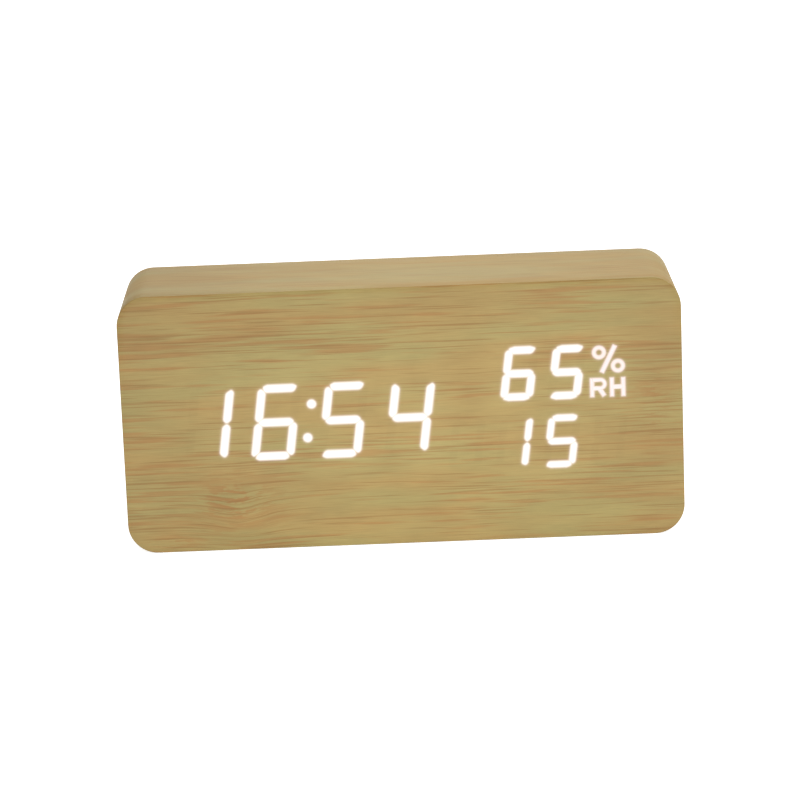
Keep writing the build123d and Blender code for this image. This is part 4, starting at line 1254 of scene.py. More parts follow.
@dataclass
class GlowingDisplay:
    """Digits, dots and units whose light comes through the veneer."""

    front_y: float = -20.0
    proud: float = 0.02
    root: float = 0.03
    step: float = 0.001
    slash_lift: float = 0.004
    plate_insets: tuple[float, ...] = (0.0, 0.12, 0.26, 0.42)
    core_depth: float = 1.2
    colon_radius: float = 1.34
    colon_centres: tuple[Pair, ...] = ((-24.2, 39.68), (-25.6, 30.44))
    colon_points: int = 32
    ring_centres: tuple[Pair, ...] = ((52.85, 50.71), (57.84, 46.92))
    ring_outer: float = 1.92
    ring_inner: float = 0.74
    ring_steps: int = 7
    ring_points: int = 40
    slash: Stroke = Stroke((53.44, 45.14), (57.19, 52.6), 1.34)
    unit_strokes: tuple[Stroke, ...] = (
        Stroke((50.82, 38.46), (50.82, 43.80), 1.24),
        Stroke((52.7, 40.9), (54.1, 38.72), 1.24),
        Stroke((56.12, 38.46), (56.12, 43.80), 1.24),
        Stroke((59.15, 38.46), (59.15, 43.80), 1.24),
        Stroke((56.1, 41.18), (59.2, 41.18), 1.12),
    )
    bowl_start_x: float = 50.9
    bowl_centre: Pair = (53.05, 42.08)
    bowl_radius: float = 1.16
    bowl_half_stroke: float = 0.56

    def digits(self) -> list[Digit]:
        """Every digit of the display, from left to right and from top to bottom."""
        return [
            Digit("lit_hours_tens", LARGE, -51.74, 35.13, Reading.ONE),
            Digit("lit_hours_ones", LARGE, -33.87, 35.04, Reading.SIX),
            Digit("lit_minutes_tens", LARGE, -15.96, 34.97, Reading.FIVE),
            Digit("lit_minutes_ones", LARGE, 1.92, 34.94, Reading.FOUR),
            Digit("lit_humidity_tens", HUMIDITY, 31.47, 45.8, Reading.SIX),
            Digit("lit_humidity_ones", HUMIDITY, 44.15, 45.7, Reading.FIVE),
            Digit("unlit_first", DEGREES, 16.93, 26.9, Reading.BLANK),
            Digit("lit_degrees_tens", DEGREES, 29.70, 26.9, Reading.ONE),
            Digit("lit_degrees_ones", DEGREES, 42.38, 26.8, Reading.FIVE),
            Digit("unlit_last", DEGREES, 55.04, 26.8, Reading.BLANK),
        ]

    def colon(self) -> list[np.ndarray]:
        """Outlines of the two dots."""
        dot = self.colon_radius * circle(self.colon_points)
        return [dot + centre for centre in self.colon_centres]

    def unit_outlines(self) -> list[np.ndarray]:
        """Outlines of R and H."""
        return [*(stroke.outline() for stroke in self.unit_strokes), self.unit_bowl()]

    def unit_bowl(self) -> np.ndarray:
        """Outline of the R's bowl: a stroke of even width, out, round an arc and back.

        Returns:
            Counter-clockwise X and Z.
        """
        z, radius, start = self.bowl_centre[1], self.bowl_radius, self.bowl_start_x
        curve = arc(QUARTER_TURN, -QUARTER_TURN, 14) * radius + self.bowl_centre
        path = np.vstack([[(start, z + radius)], curve, [(start, z - radius)]])
        along = unit(np.gradient(path, axis=0))
        side = np.column_stack([-along[:, 1], along[:, 0]]) * self.bowl_half_stroke
        return np.vstack([path - side, (path + side)[::-1]])

    def sign_distance(self, plane: np.ndarray) -> np.ndarray:
        """Distance to the signs. A ring's is the larger of the ways to its two circles.

        Args:
            plane: X and Z of each point.

        Returns:
            One signed distance to a point.
        """
        distance = nearest_of([self.slash.outline(), *self.unit_outlines()], plane, 12.0)
        for centre in self.ring_centres:
            radius = np.hypot(*(plane - centre).T)
            to_ring = np.maximum(radius - self.ring_outer, self.ring_inner - radius)
            distance = np.minimum(distance, to_ring)
        return distance

    def lit_distance(self, plane: np.ndarray, reach: float) -> np.ndarray:
        """Signed distance to everything that is lit."""
        lines = [line for digit in self.digits() for line in digit.outlines(True)] + self.colon()
        return np.minimum(nearest_of(lines, plane, reach), self.sign_distance(plane))

    def unlit_distance(self, plane: np.ndarray) -> np.ndarray:
        """Signed distance to the segments that stay dark, for points at and near them."""
        lines = [line for digit in self.digits() for line in digit.outlines(False)]
        return nearest_of(lines, plane, 1.0)

    def depth_at(self, points: np.ndarray) -> np.ndarray:
        """Depth of X, Y, Z points inside the lit area as a whole, 0 at its outline."""
        return np.maximum(-self.lit_distance(points[:, (0, 2)], 1.0), 0.0)

    def thin_plate(self, outline: np.ndarray, lift: float) -> Plate:
        """Thin plate on the veneer, whose face is a set of outlines one inside the other.

        Args:
            outline: counter-clockwise X and Z.
            lift: how much further it stands out.

        Returns:
            The plate, whose innermost outline counts as the core.
        """
        face = self.front_y - self.proud - lift
        depths = (self.front_y + self.root, *[face] * len(self.plate_insets))
        shape = plate_shape(outline, depths, (0.0, *self.plate_insets))
        depth = self.depth_at(shape.points)
        depth[-len(outline) :] = self.core_depth
        return Plate(shape, depth)

    def ring_plate(self, x: float, z: float) -> Plate:
        """Thin flat ring on the veneer: a small closed profile turned round the ring's axis.

        Args:
            x: centre.
            z: centre.

        Returns:
            The plate.
        """
        radii = np.linspace(self.ring_outer, self.ring_inner, self.ring_steps)
        sunk = [(self.ring_inner, -self.root), (self.ring_outer, -self.root)]
        rings = turned([*sunk, *[(radius, self.proud) for radius in radii]], self.ring_points)
        across, up, out = (rings[..., axis].reshape(-1) for axis in range(3))
        points = np.column_stack([across + x, self.front_y - out, up + z])
        return Plate(Shape(points, closed_quads(*rings.shape[:2])), self.depth_at(points))

    def stepped_plates(self, outlines: list[np.ndarray]) -> list[Plate]:
        """Plates that each stand out a little more, so that no two faces lie in one plane."""
        return [self.thin_plate(line, self.step * index) for index, line in enumerate(outlines)]

    def build(self) -> None:
        """Makes a piece for each lit digit, the colon, the per cent sign and the unit."""
        for digit in self.digits():
            lit = digit.outlines(True)
            if lit:
                self.piece(digit.name, self.stepped_plates(lit), GlowFinish())
        self.piece("lit_colon", self.stepped_plates(self.colon()), GlowFinish())
        rings = [self.ring_plate(x, z) for x, z in self.ring_centres]
        slash = self.thin_plate(self.slash.outline(), self.slash_lift)
        self.piece("lit_percent", [*rings, slash], SIGN_GLOW)
        self.piece("lit_unit", self.stepped_plates(self.unit_outlines()), SIGN_GLOW)

    def piece(self, name: str, plates: list[Plate], finish: Finish) -> None:
        """Makes one glowing piece, with the depth of each point as an attribute.

        Args:
            name: its name.
            plates: its plates.
            finish: its look.
        """
        shape = joined_shapes(plate.shape for plate in plates)
        piece = make_piece(name, shape, Body.CLOCK, finish)
        write_field(piece.data, "depth", np.concatenate([plate.depth for plate in plates]))


def distance_to(outline: np.ndarray, points: np.ndarray) -> np.ndarray:
    """Signed distance from points to a closed outline, below zero inside it.

    The distance is the least of the distances to its edges. A point is inside where a level ray
    from it crosses the edges an odd number of times.

    Args:
        outline: corners, one row each.
        points: places, one row each.

    Returns:
        One distance to a point.
    """
    a, b = outline[None, :, :], np.roll(outline, -1, 0)[None, :, :]
    p = points[:, None, :]
    edge = b - a
    t = np.clip(((p - a) * edge).sum(-1) / np.maximum((edge**2).sum(-1), 1e-12), 0.0, 1.0)
    distance = np.linalg.norm(a + edge * t[..., None] - p, axis=-1).min(1)
    rises = (a[..., 1] > p[..., 1]) != (b[..., 1] > p[..., 1])
    slope = np.where(np.abs(edge[..., 1]) < 1e-12, 1e-12, edge[..., 1])
    cross_x = a[..., 0] + (p[..., 1] - a[..., 1]) * edge[..., 0] / slope
    inside = (rises & (p[..., 0] < cross_x)).sum(1) % 2 == 1
    return np.where(inside, -distance, distance)


def nearest_of(outlines: list[np.ndarray], points: np.ndarray, reach: float) -> np.ndarray:
    """Least signed distance to any of several outlines, for points within reach of each one's box.

    Args:
        outlines: closed outlines.
        points: places, one row each.
        reach: distance beyond which it doesn't matter.

    Returns:
        One distance to a point.
    """
    nearest = np.full(len(points), FAR)
    for outline in outlines:
        low, high = outline.min(0) - reach, outline.max(0) + reach
        near = ((points >= low) & (points <= high)).all(1)
        if near.any():
            nearest[near] = np.minimum(nearest[near], distance_to(outline, points[near]))
    return nearest


Patch = tuple[float, float, float, float, float]
# The wrap's colour is multiplied by its tone attribute, which holds painted shade.
WRAP_BAMBOO = BambooFinish(
    name="bamboo_wrap",
    grain=Grain.WRAP,
    olive=(0.455, 0.346, 0.135),
    tan=(0.478, 0.332, 0.131),
    streak_share=0.24,
    line_share=0.36,
    mottle=0.02,
    gloss=0.05,
    toned_and_shaded=True,
    shift=41.0,
)
BASE_BAMBOO = BambooFinish(
    name="bamboo_base", grain=Grain.PLAN, streak_share=0.4, line_share=0.2, shift=83.0
)
REAR_BAMBOO = BambooFinish(name="bamboo_rear", streak_share=0.5, line_share=0.3, shift=127.0)


def patch_field(patches: Sequence[Patch], plane: np.ndarray) -> np.ndarray:
    """Sum of Gaussian patches: weight * exp(-(dx / across)^2 - (dz / up)^2).

    Args:
        patches: centre X and Z, radii along X and Z, and weight of each.
        plane: X and Z of each point.

    Returns:
        One value to a point.
    """
    total = np.zeros(len(plane))
    for x, z, across, up, weight in patches:
        dx, dz = (plane[:, 0] - x) / across, (plane[:, 1] - z) / up
        total += weight * np.exp(-(dx**2) - dz**2)
    return total


@dataclass
class Veneers:
    """Wood-effect skin of the case: front, wrap, base and the frame round the back."""

    half_width: float = 75.0
    height: float = 70.5
    corner: float = 8.0
    front_y: float = -20.0
    rear_y: float = 20.0
    thickness: float = 0.5
    edge: float = 0.22
    wrap_edge: float = 0.1
    wrap_bevel: float = 0.03
    top_points: int = 14
    frame_rim: float = 3.5
    frame_corner: float = 4.5
    rim_steps: int = 5
    fine_mm: float = 0.34
    fine_x: Pair = (-58.0, 62.5)
    fine_z: Pair = (17.0, 57.0)
    halo_reach: float = 12.0
    spread_radius: float = 6.0
    unlit_blur: float = 0.4
    front_tone: float = 0.92
    wrap_tone: float = 1.025
    shade_depth: float = 0.5
    shade_radius: float = 0.7
    # Brightness of the front: higher in the middle and along the bottom, lower at the upper
    # corners.
    front_tones: tuple[Patch, ...] = (
        (10.0, 25.0, 45.0, 32.0, 0.145),
        (-75.0, 70.0, 24.0, 22.0, -0.07),
        (75.0, 56.0, 24.0, 26.0, -0.055),
        (0.0, 4.0, 80.0, 7.0, 0.05),
    )
    # Painted shade: the wrap darker towards its top corners, most at the left.
    wrap_shade_patches: tuple[Patch, ...] = (
        (-75.0, 70.5, 40.0, 40.0, -0.20),
        (75.0, 70.5, 40.0, 40.0, -0.05),
    )
    sags: tuple[Patch, ...] = ((-45.0, 9.0, 9.0, 8.0, 1.0),)
    stem_nodes: tuple[Patch, ...] = (
        (-46.0, 13.5, 11.0, 7.5, 1.05),
        (-62.0, 3.0, 8.0, 2.4, 0.7),
        (67.0, 38.0, 5.0, 10.0, 0.8),
    )
    streak_zones: tuple[Patch, ...] = (
        (-52.0, 57.0, 24.0, 6.0, 0.6),
        (-20.0, 54.0, 12.0, 4.0, 0.5),
        (37.0, 51.5, 13.0, 1.3, 1.2),
        (-22.0, 18.5, 14.0, 1.1, 1.0),
        (-45.0, 12.0, 18.0, 8.0, 1.0),
        (40.0, 15.0, 26.0, 5.0, 0.3),
        (-7.0, 64.0, 14.0, 1.6, 0.6),
        (67.0, 40.0, 6.0, 12.0, 0.7),
        (8.0, 46.0, 28.0, 6.0, -0.6),
        (0.0, 36.0, 60.0, 5.0, -0.35),
        (15.0, 66.0, 22.0, 5.0, -0.5),
        (0.0, 4.0, 34.0, 6.0, -0.6),
        (-70.0, 55.0, 10.0, 6.0, -0.4),
        (-12.0, 24.0, 32.0, 5.0, 0.5),
        (-22.0, 56.0, 24.0, 4.0, 0.4),
        (0.0, 14.0, 34.0, 9.0, -0.3),
    )

    def build(self, display: GlowingDisplay) -> None:
        """Makes the four veneer pieces.

        Args:
            display: display that shines through the front.
        """
        self.front_panel(display)
        self.case_wrap()
        self.base_strip()
        self.rear_frame()

    def front_grid(self) -> tuple[np.ndarray, np.ndarray]:
        """Shares of the half width of each column, and the height of each row.

        Columns and rows are dense over the display, where the digits' light is painted on them.
        Rows close up by a cosine in the rounded corners, with a few more along the shaded edge.

        Returns:
            Column shares from -1 to 1, and row heights.
        """
        half, d = self.half_width - self.edge, self.edge
        left, right = self.fine_x
        low, high = self.fine_z
        columns = np.concatenate(
            [
                np.linspace(-half, left, 8, endpoint=False),
                np.arange(left, right, self.fine_mm),
                np.linspace(right + 0.1, half, 6),
            ]
        )
        rise = (self.corner - d) * (1.0 - np.cos(np.linspace(0.0, QUARTER_TURN, 14)))
        rise = np.union1d(rise, (0.12, 0.35, 0.55, 0.75, 0.95, 1.2))
        rows = np.concatenate(
            [
                d + rise,
                np.linspace(self.corner, low, 6)[1:-1],
                np.arange(low, high, self.fine_mm),
                np.linspace(high + 0.2, self.height - self.corner, 3)[:-1],
                (self.height - d - rise)[::-1],
            ]
        )
        return columns / half, rows

    def face_points(self, shares: np.ndarray, rows: np.ndarray) -> np.ndarray:
        """Points of the front's flat face, in a grid whose rows are as wide as the outline there.

        A row at height z has the half width w(z) = W - R + sqrt(R^2 - (R - z)^2) in the corners.

        Args:
            shares: share of the half width of each column.
            rows: height of each row.

        Returns:
            One point to a row.
        """
        d = self.edge
        radius, half = self.corner - d, self.half_width - d
        to_end = np.minimum(rows - d, self.height - d - rows)
        into_corner = np.clip(radius - to_end, 0.0, radius)
        widths = half - radius + np.sqrt(np.maximum(radius**2 - into_corner**2, 0.0))
        x = widths[:, None] * shares[None, :]
        z = np.repeat(rows[:, None], len(shares), 1)
        return np.stack([x, np.full_like(x, self.front_y), z], -1).reshape(-1, 3)

    def rim_rings(self, edge_points: np.ndarray) -> np.ndarray:
        """Rings from the face's outline round a quarter circle, then straight to the sheet's back.

        Args:
            edge_points: X and Z of the face's outline.

        Returns:
            Array of rings by points by 3.
        """
        d = self.edge
        radius = self.corner - d
        middle = np.array([0.0, self.height / 2])
        core = np.array([self.half_width - d - radius, self.height / 2 - d - radius])
        outward = unit(edge_points - (middle + np.clip(edge_points - middle, -core, core)))
        rings = [
            at_depth(
                edge_points + outward * d * math.sin(turn),
                self.front_y + d * (1.0 - math.cos(turn)),
            )
            for turn in np.linspace(0.0, QUARTER_TURN, self.rim_steps)[1:]
        ]
        back = at_depth(rings[-1][:, (0, 2)], self.front_y + self.thickness)
        return np.array([*rings, back])

    def front_panel(self, display: GlowingDisplay) -> None:
        """Front sheet: the grid of its face, the rings of its rim and one face at the back.

        Args:
            display: display that shines through it.
        """
        shares, rows = self.front_grid()
        flat = self.face_points(shares, rows)
        index = np.arange(len(flat)).reshape(len(rows), len(shares))
        loop = np.concatenate([index[0], index[1:-1, -1], index[-1, ::-1], index[-2:0:-1, 0]])
        rings = self.rim_rings(flat[loop][:, (0, 2)])
        count, around = rings.shape[:2]
        first, ring = len(flat), np.arange(around)
        after = np.roll(ring, -1)
        faces = grid_quads(len(rows), len(shares)).tolist()
        faces += np.column_stack([loop, loop[after], first + after, first + ring]).tolist()
        faces += grid_quads(count, around, wrap=True, start=first).tolist()
        faces.append((first + (count - 1) * around + ring).tolist())
        piece = make_piece(
            "front_panel",
            Shape(np.vstack([flat, rings.reshape(-1, 3)]), faces),
            Body.CLOCK,
            BambooFinish(toned_and_shaded=True, display=True),
            ("front_veneer",),
        )
        self.paint_front(piece.data, display)

    def paint_front(self, mesh: bpy.types.Mesh, display: GlowingDisplay) -> None:
        """Writes the point attributes of the front.

        With d as the distance to the nearest lit outline, the light that spreads in the sheet is
        exp(-(d / radius)^2). An unlit segment is 1 inside its outline. Tones, stem nodes, the sag
        of the fibres and zones with more or fewer streaks are sums of Gaussian patches. The tone is
        brighter in the middle and along the bottom, darker at the upper corners. The rim is painted
        shade: 1 on the rounded edge, and the browner band of edge_shade on the face.

        Args:
            mesh: front panel.
            display: display behind it.
        """
        flat = np.empty(len(mesh.vertices) * 3)
        mesh.vertices.foreach_get("co", flat)
        places = flat.reshape(-1, 3) / MM
        on_face = places[:, 1] < self.front_y + 0.001
        plane = places[:, (0, 2)]
        to_lit = display.lit_distance(plane, self.halo_reach)
        to_dark = display.unlit_distance(plane)
        spread = np.exp(-((np.maximum(to_lit, 0.0) / self.spread_radius) ** 2))
        fields = {
            "to_lit": np.where(on_face, np.maximum(to_lit, -0.5), FAR),
            "spread": spread * on_face,
            "tone": self.front_tone + patch_field(self.front_tones, plane),
            "unlit": np.clip(0.5 - to_dark / self.unlit_blur, 0.0, 1.0) * on_face,
            # Painted shade: 1 on the rounded edge, and a browner band along the outline on the
            # face.
            "rim": np.where(on_face, self.edge_shade(plane), 1.0),
            "stem_node": patch_field(self.stem_nodes, plane),
            "sag": patch_field(self.sags, plane),
            "streak_zone": patch_field(self.streak_zones, plane),
        }
        for name, values in fields.items():
            write_field(mesh, name, values)

    def edge_shade(self, plane: np.ndarray) -> np.ndarray:
        """Painted shade: a browner band on the face along its outline, strongest a little way in
        from the top edge.

        With e as the way to the outline, it is strength * exp(-((e - depth) / radius)^2), where
        the strength rises from 0.1 at the sides to 0.75 at the top.

        Args:
            plane: X and Z of each point.

        Returns:
            Shade from 0 to 1.
        """
        away = np.abs(plane - (0.0, self.height / 2))
        past = away - (self.half_width - self.corner, self.height / 2 - self.corner)
        to_edge = self.corner - np.hypot(*np.maximum(past, 0.0).T) - np.minimum(past.max(1), 0.0)
        top = np.clip((plane[:, 1] - 50.0) / 15.0, 0.0, 1.0)
        band = np.exp(-(((to_edge - self.shade_depth) / self.shade_radius) ** 2))
        return (0.1 + 0.65 * top) * band

    def wrap_outline(self) -> tuple[np.ndarray, np.ndarray]:
        """Outer line of the wrap, from the base's left end over the top to its right end.

        The line has a quarter circle at each corner, and points across the top that carry its
        tone, which holds painted shade towards the top corners.

        Returns:
            X and Z of each point, and its outward direction.
        """
        r, w, h = self.corner, self.half_width, self.height
        corners = (
            ((-w + r, r), -QUARTER_TURN, -math.pi),
            ((-w + r, h - r), math.pi, QUARTER_TURN),
            ((w - r, h - r), QUARTER_TURN, 0.0),
            ((w - r, r), 0.0, -QUARTER_TURN),
        )
        normals = [arc(start, end, 16) for _, start, end in corners]
        points = [out * r + centre for out, (centre, _, _) in zip(normals, corners)]
        across_top = np.linspace(-w + r, w - r, self.top_points + 2)[1:-1]
        points.insert(2, np.column_stack([across_top, np.full(self.top_points, h)]))
        normals.insert(2, np.tile((0.0, 1.0), (self.top_points, 1)))
        return np.vstack(points), np.vstack(normals)

    def case_wrap(self) -> None:
        """Sheet bent round the left side, the top and the right side.

        Each point of the outline carries a closed profile: over the outer face, round to the inner
        face. The UV map measures the way along the outline and across it.
        """
        line, out = self.wrap_outline()
        e, b, t = self.wrap_edge, self.wrap_bevel, self.thickness
        front, rear = self.front_y + t, self.rear_y - t
        face = [(y, 0.0) for y in np.linspace(front + e, rear - e, 7)]
        before, after = [(front, -e), (front + b, -b)], [(rear - b, -b), (rear, -e)]
        profile = np.array([*before, *face, *after, (rear, -t), (front, -t)])
        flat = line[:, None, :] + out[:, None, :] * profile[None, :, 1:]
        depth = np.broadcast_to(profile[:, 0], flat.shape[:2])
        shape = stacked_rings(np.stack([flat[..., 0], depth, flat[..., 1]], -1))
        piece = make_piece(
            "case_wrap", shape, Body.CLOCK, WRAP_BAMBOO, ("side_veneer",)
        )
        # Painted shade: the tone darkens the wrap towards its top corners, most at the left.
        tone = self.wrap_tone + patch_field(self.wrap_shade_patches, shape.points[:, (0, 2)])
        write_field(piece.data, "tone", tone)
        steps = np.linalg.norm(np.diff(line, axis=0), axis=1)
        travelled = np.concatenate([[0.0], np.cumsum(steps)])
        along = np.repeat(travelled, len(profile))
        across = np.tile(profile[:, 0] + profile[:, 1], len(line))
        loops = np.empty(len(piece.data.loops), np.int32)
        piece.data.loops.foreach_get("vertex_index", loops)
        places = (np.column_stack([along, across])[loops] * MM).ravel().astype(np.float32)
        piece.data.uv_layers.new(name="veneer").data.foreach_set("uv", places)

    def base_strip(self) -> None:
        """Flat strip under the case with softened edges, as a stack of rounded outlines."""
        length, depth = self.half_width - self.corner, self.rear_y - self.thickness
        outline = rounded_rectangle(length, depth, 0.3, 4)
        rings = []
        for z, inset in ((0.0, 0.08), (0.03, 0.02), (0.1, 0.0), (self.thickness, 0.0)):
            flat = inset_outline(outline, inset)
            rings.append(np.column_stack([flat, np.full(len(flat), z)]))
        shape = stacked_rings(np.array(rings))
        make_piece(
            "base_strip", shape, Body.CLOCK, BASE_BAMBOO, ("base_veneer",)
        )

    def rear_frame(self) -> None:
        """Flat frame round the cover: rings from the outer outline over the face to the inner."""
        middle = (0.0, self.height / 2)
        rim, e = self.frame_rim, self.edge
        low, high = self.rear_y - self.thickness, self.rear_y
        width, half = self.half_width, self.height / 2
        outer = rounded_rectangle(width, half, self.corner) + middle
        inner = rounded_rectangle(width - rim, half - rim, self.frame_corner) + middle
        turns = np.linspace(0.0, QUARTER_TURN, self.rim_steps)
        rings = [at_depth(outer, low)]
        for outline, way, angles in ((outer, 1.0, turns), (inner, -1.0, turns[::-1])):
            for angle in angles:
                inset, drop = e * (1 - math.cos(angle)), e * (1 - math.sin(angle))
                rings.append(at_depth(inset_outline(outline, way * inset), high - drop))
        stack = np.array([*rings, at_depth(inner, low)])
        shape = Shape(stack.reshape(-1, 3), closed_quads(*stack.shape[:2]))
        make_piece(
            "rear_frame", shape, Body.CLOCK, REAR_BAMBOO, ("rear_veneer",)
        )


BLACK_SHELL = MouldedFinish("grained_black_shell", (0.016, 0.016, 0.018), 0.50, 0.62, 0.06)
BLACK_BUTTON = MouldedFinish("satin_black_button", (0.024, 0.024, 0.027), 0.38, 0.5, 0.012)
BLACK_CHIP = MouldedFinish("moulded_black_chip", (0.020, 0.020, 0.021), 0.6, 0.12, 0.01)
WHITE_PLASTIC = MouldedFinish("white_reflector", (0.80, 0.80, 0.79), 0.35, 0.4, 0.006, 0.03)
IVORY_PLASTIC = MouldedFinish("ivory_connector", (0.72, 0.69, 0.58), 0.42, 0.5, 0.01, 0.05)
FILM = MouldedFinish("printed_film", (0.62, 0.62, 0.60), 0.6, 0.6, 0.004, 0.05)
SENSOR_PLASTIC = MouldedFinish("pale_sensor_box", (0.50, 0.58, 0.68), 0.45, 0.4, 0.012, 0.05)
LAMP = MouldedFinish("lamp_phosphor", (0.80, 0.74, 0.42), 0.3, 0.2, 0.01, 0.08)
ZINC = PlatedFinish("zinc_plated_steel", (0.40, 0.40, 0.39), 0.30, (3.0, 3.0, 3.0))
NICKEL = PlatedFinish("nickel_plated_spring", (0.66, 0.64, 0.60), 0.22)
CAN = PlatedFinish("drawn_can", (0.68, 0.68, 0.70), 0.28, (0.4, 0.4, 5.0))
RED_WIRE = MouldedFinish("red_insulation", (0.42, 0.018, 0.012), 0.4, 0.8, 0.01)
BLACK_WIRE = MouldedFinish("black_insulation", (0.015, 0.015, 0.015), 0.4, 0.8, 0.01)


def soft_gate(distance: np.ndarray, half_width: float) -> np.ndarray:
    """1 within a half width and 0 outside it, with a soft step t^2 (3 - 2t) between them."""
    t = np.clip((half_width * 1.25 - distance) / (half_width * 0.5), 0.0, 1.0)
    return t * t * (3.0 - 2.0 * t)


@dataclass
class Screws:
    """Pan-headed screws with a cross recess and a thread."""

    name: str
    node: str
    places: tuple[Pair, ...]
    seat_y: float
    length: float
    head_radius: float
    head_height: float
    shank_radius: float
    pitch: float = 1.1
    recess_depth: float = 0.55
    arm_share: float = 0.145
    reach_share: float = 0.58
    seat_bevel: float = 0.12

    def head(self) -> Shape:
        """Domed head: height over radius r and angle a, less a cross that is deepest in the middle.

        The height is H * (0.3 + 0.7 * (1 - (r/R)^2.6)), and the cross cuts where |r sin a| or
        |r cos a| is small.

        Returns:
            Closed shape about the Z axis, with its seat at zero height.
        """
        around, steps, whole = 96, 26, self.head_radius
        share = np.linspace(0.02, 1.0, steps)[:, None]
        cos, sin = circle(around).T[:, None, :]
        x, y = whole * share * cos, whole * share * sin
        height = self.head_height * (0.30 + 0.70 * (1.0 - share**2.6)) + 0.0 * x
        arm, reach = whole * self.arm_share, whole * self.reach_share
        bar_x = soft_gate(np.abs(y), arm) * soft_gate(np.abs(x), reach)
        bar_y = soft_gate(np.abs(x), arm) * soft_gate(np.abs(y), reach)
        slope = 1.0 - 0.45 * np.clip(np.hypot(x, y) / reach, 0.0, 1.0)
        height = height - self.recess_depth * np.maximum(bar_x, bar_y) * slope
        foot = [(whole, self.seat_bevel), (whole * 0.97, 0.0), (self.shank_radius, 0.0)]
        return stacked_rings(np.concatenate([np.stack([x, y, height], -1), turned(foot, around)]))

    def shank(self) -> Shape:
        """Threaded shank: radius = core + ridge, where the ridge follows a helix down to a point.

        Returns:
            Closed shape about the Z axis, under the seat.
        """
        around, steps = 24, int(self.length / self.pitch * 8)
        depth = np.linspace(0.0, self.length, steps)[:, None]
        angle = np.linspace(0.0, FULL_TURN, around, endpoint=False)[None, :]
        phase = (depth / self.pitch + angle / FULL_TURN) % 1.0
        ridge = 1.0 - np.minimum(np.abs(phase - 0.5) * 4.0, 1.0)
        taper = np.clip((self.length - depth) / (1.6 * self.shank_radius), 0.04, 1.0)
        radius = self.shank_radius * (0.74 + 0.26 * ridge) * taper
        height = -depth + 0.0 * angle
        return stacked_rings(np.stack([radius * np.cos(angle), radius * np.sin(angle), height], -1))

    def build(self) -> None:
        """Makes one piece with a screw at each place."""
        screws = joined_shapes(
            Shape(facing_back(part.points, x, self.seat_y, z), part.faces)
            for x, z in self.places
            for part in (self.head(), self.shank())
        )
        make_piece(
            self.name, screws, Body.CLOCK, ZINC, (self.node,), sharp_degrees=50.0
        )


@dataclass
class Buttons:
    """Three round caps, each with the square flange that keeps it in the cover."""

    x_places: tuple[tuple[Body, float], ...] = (
        (Body.SET, -15.5),
        (Body.UP, -29.5),
        (Body.DOWN, -43.5),
    )
    z: float = 47.85
    radius: float = 3.0
    rim: float = 0.55
    dish_depth: float = 0.16
    dish_rise: float = 0.13
    top_y: float = 19.8
    flange_half: float = 3.8
    flange_low: float = 15.4
    flange_high: float = 16.4
    around: int = 64

    def cap(self) -> np.ndarray:
        """Rings of the cap: a shallow dish, a rounded rim, a straight wall, then a square flange.

        A ring's radius on the flange is its half side over the larger of |cos a| and |sin a|.

        Returns:
            Rings about the Z axis, whose heights are depths in the clock.
        """
        r, rim, top = self.radius, self.rim, self.top_y
        shares = (0.05, 0.25, 0.45, 0.6, 0.7)
        dish = [(r * s, top - self.dish_depth + self.dish_rise * s**2) for s in shares]
        bend = [
            (r - rim + rim * math.sin(a), top - rim + rim * math.cos(a))
            for a in np.linspace(-0.25, QUARTER_TURN, 8)
        ]
        rings = turned([*dish, *bend, (r, self.flange_high)], self.around)
        ring = circle(self.around)
        square = self.flange_half / np.abs(ring).max(1, keepdims=True) * ring
        flange = [
            np.column_stack([square, np.full(self.around, height)])
            for height in (self.flange_high, self.flange_low)
        ]
        return np.concatenate([rings, np.array(flange)])

    def build(self) -> None:
        """Makes the three buttons, each on its own body."""
        rings = self.cap()
        for body, x in self.x_places:
            make_piece(
                f"{body.value}_cap",
                stacked_rings(facing_back(rings, x, 0.0, self.z)),
                body,
                BLACK_BUTTON,
                (body.value,),
                sharp_degrees=40.0,
            )


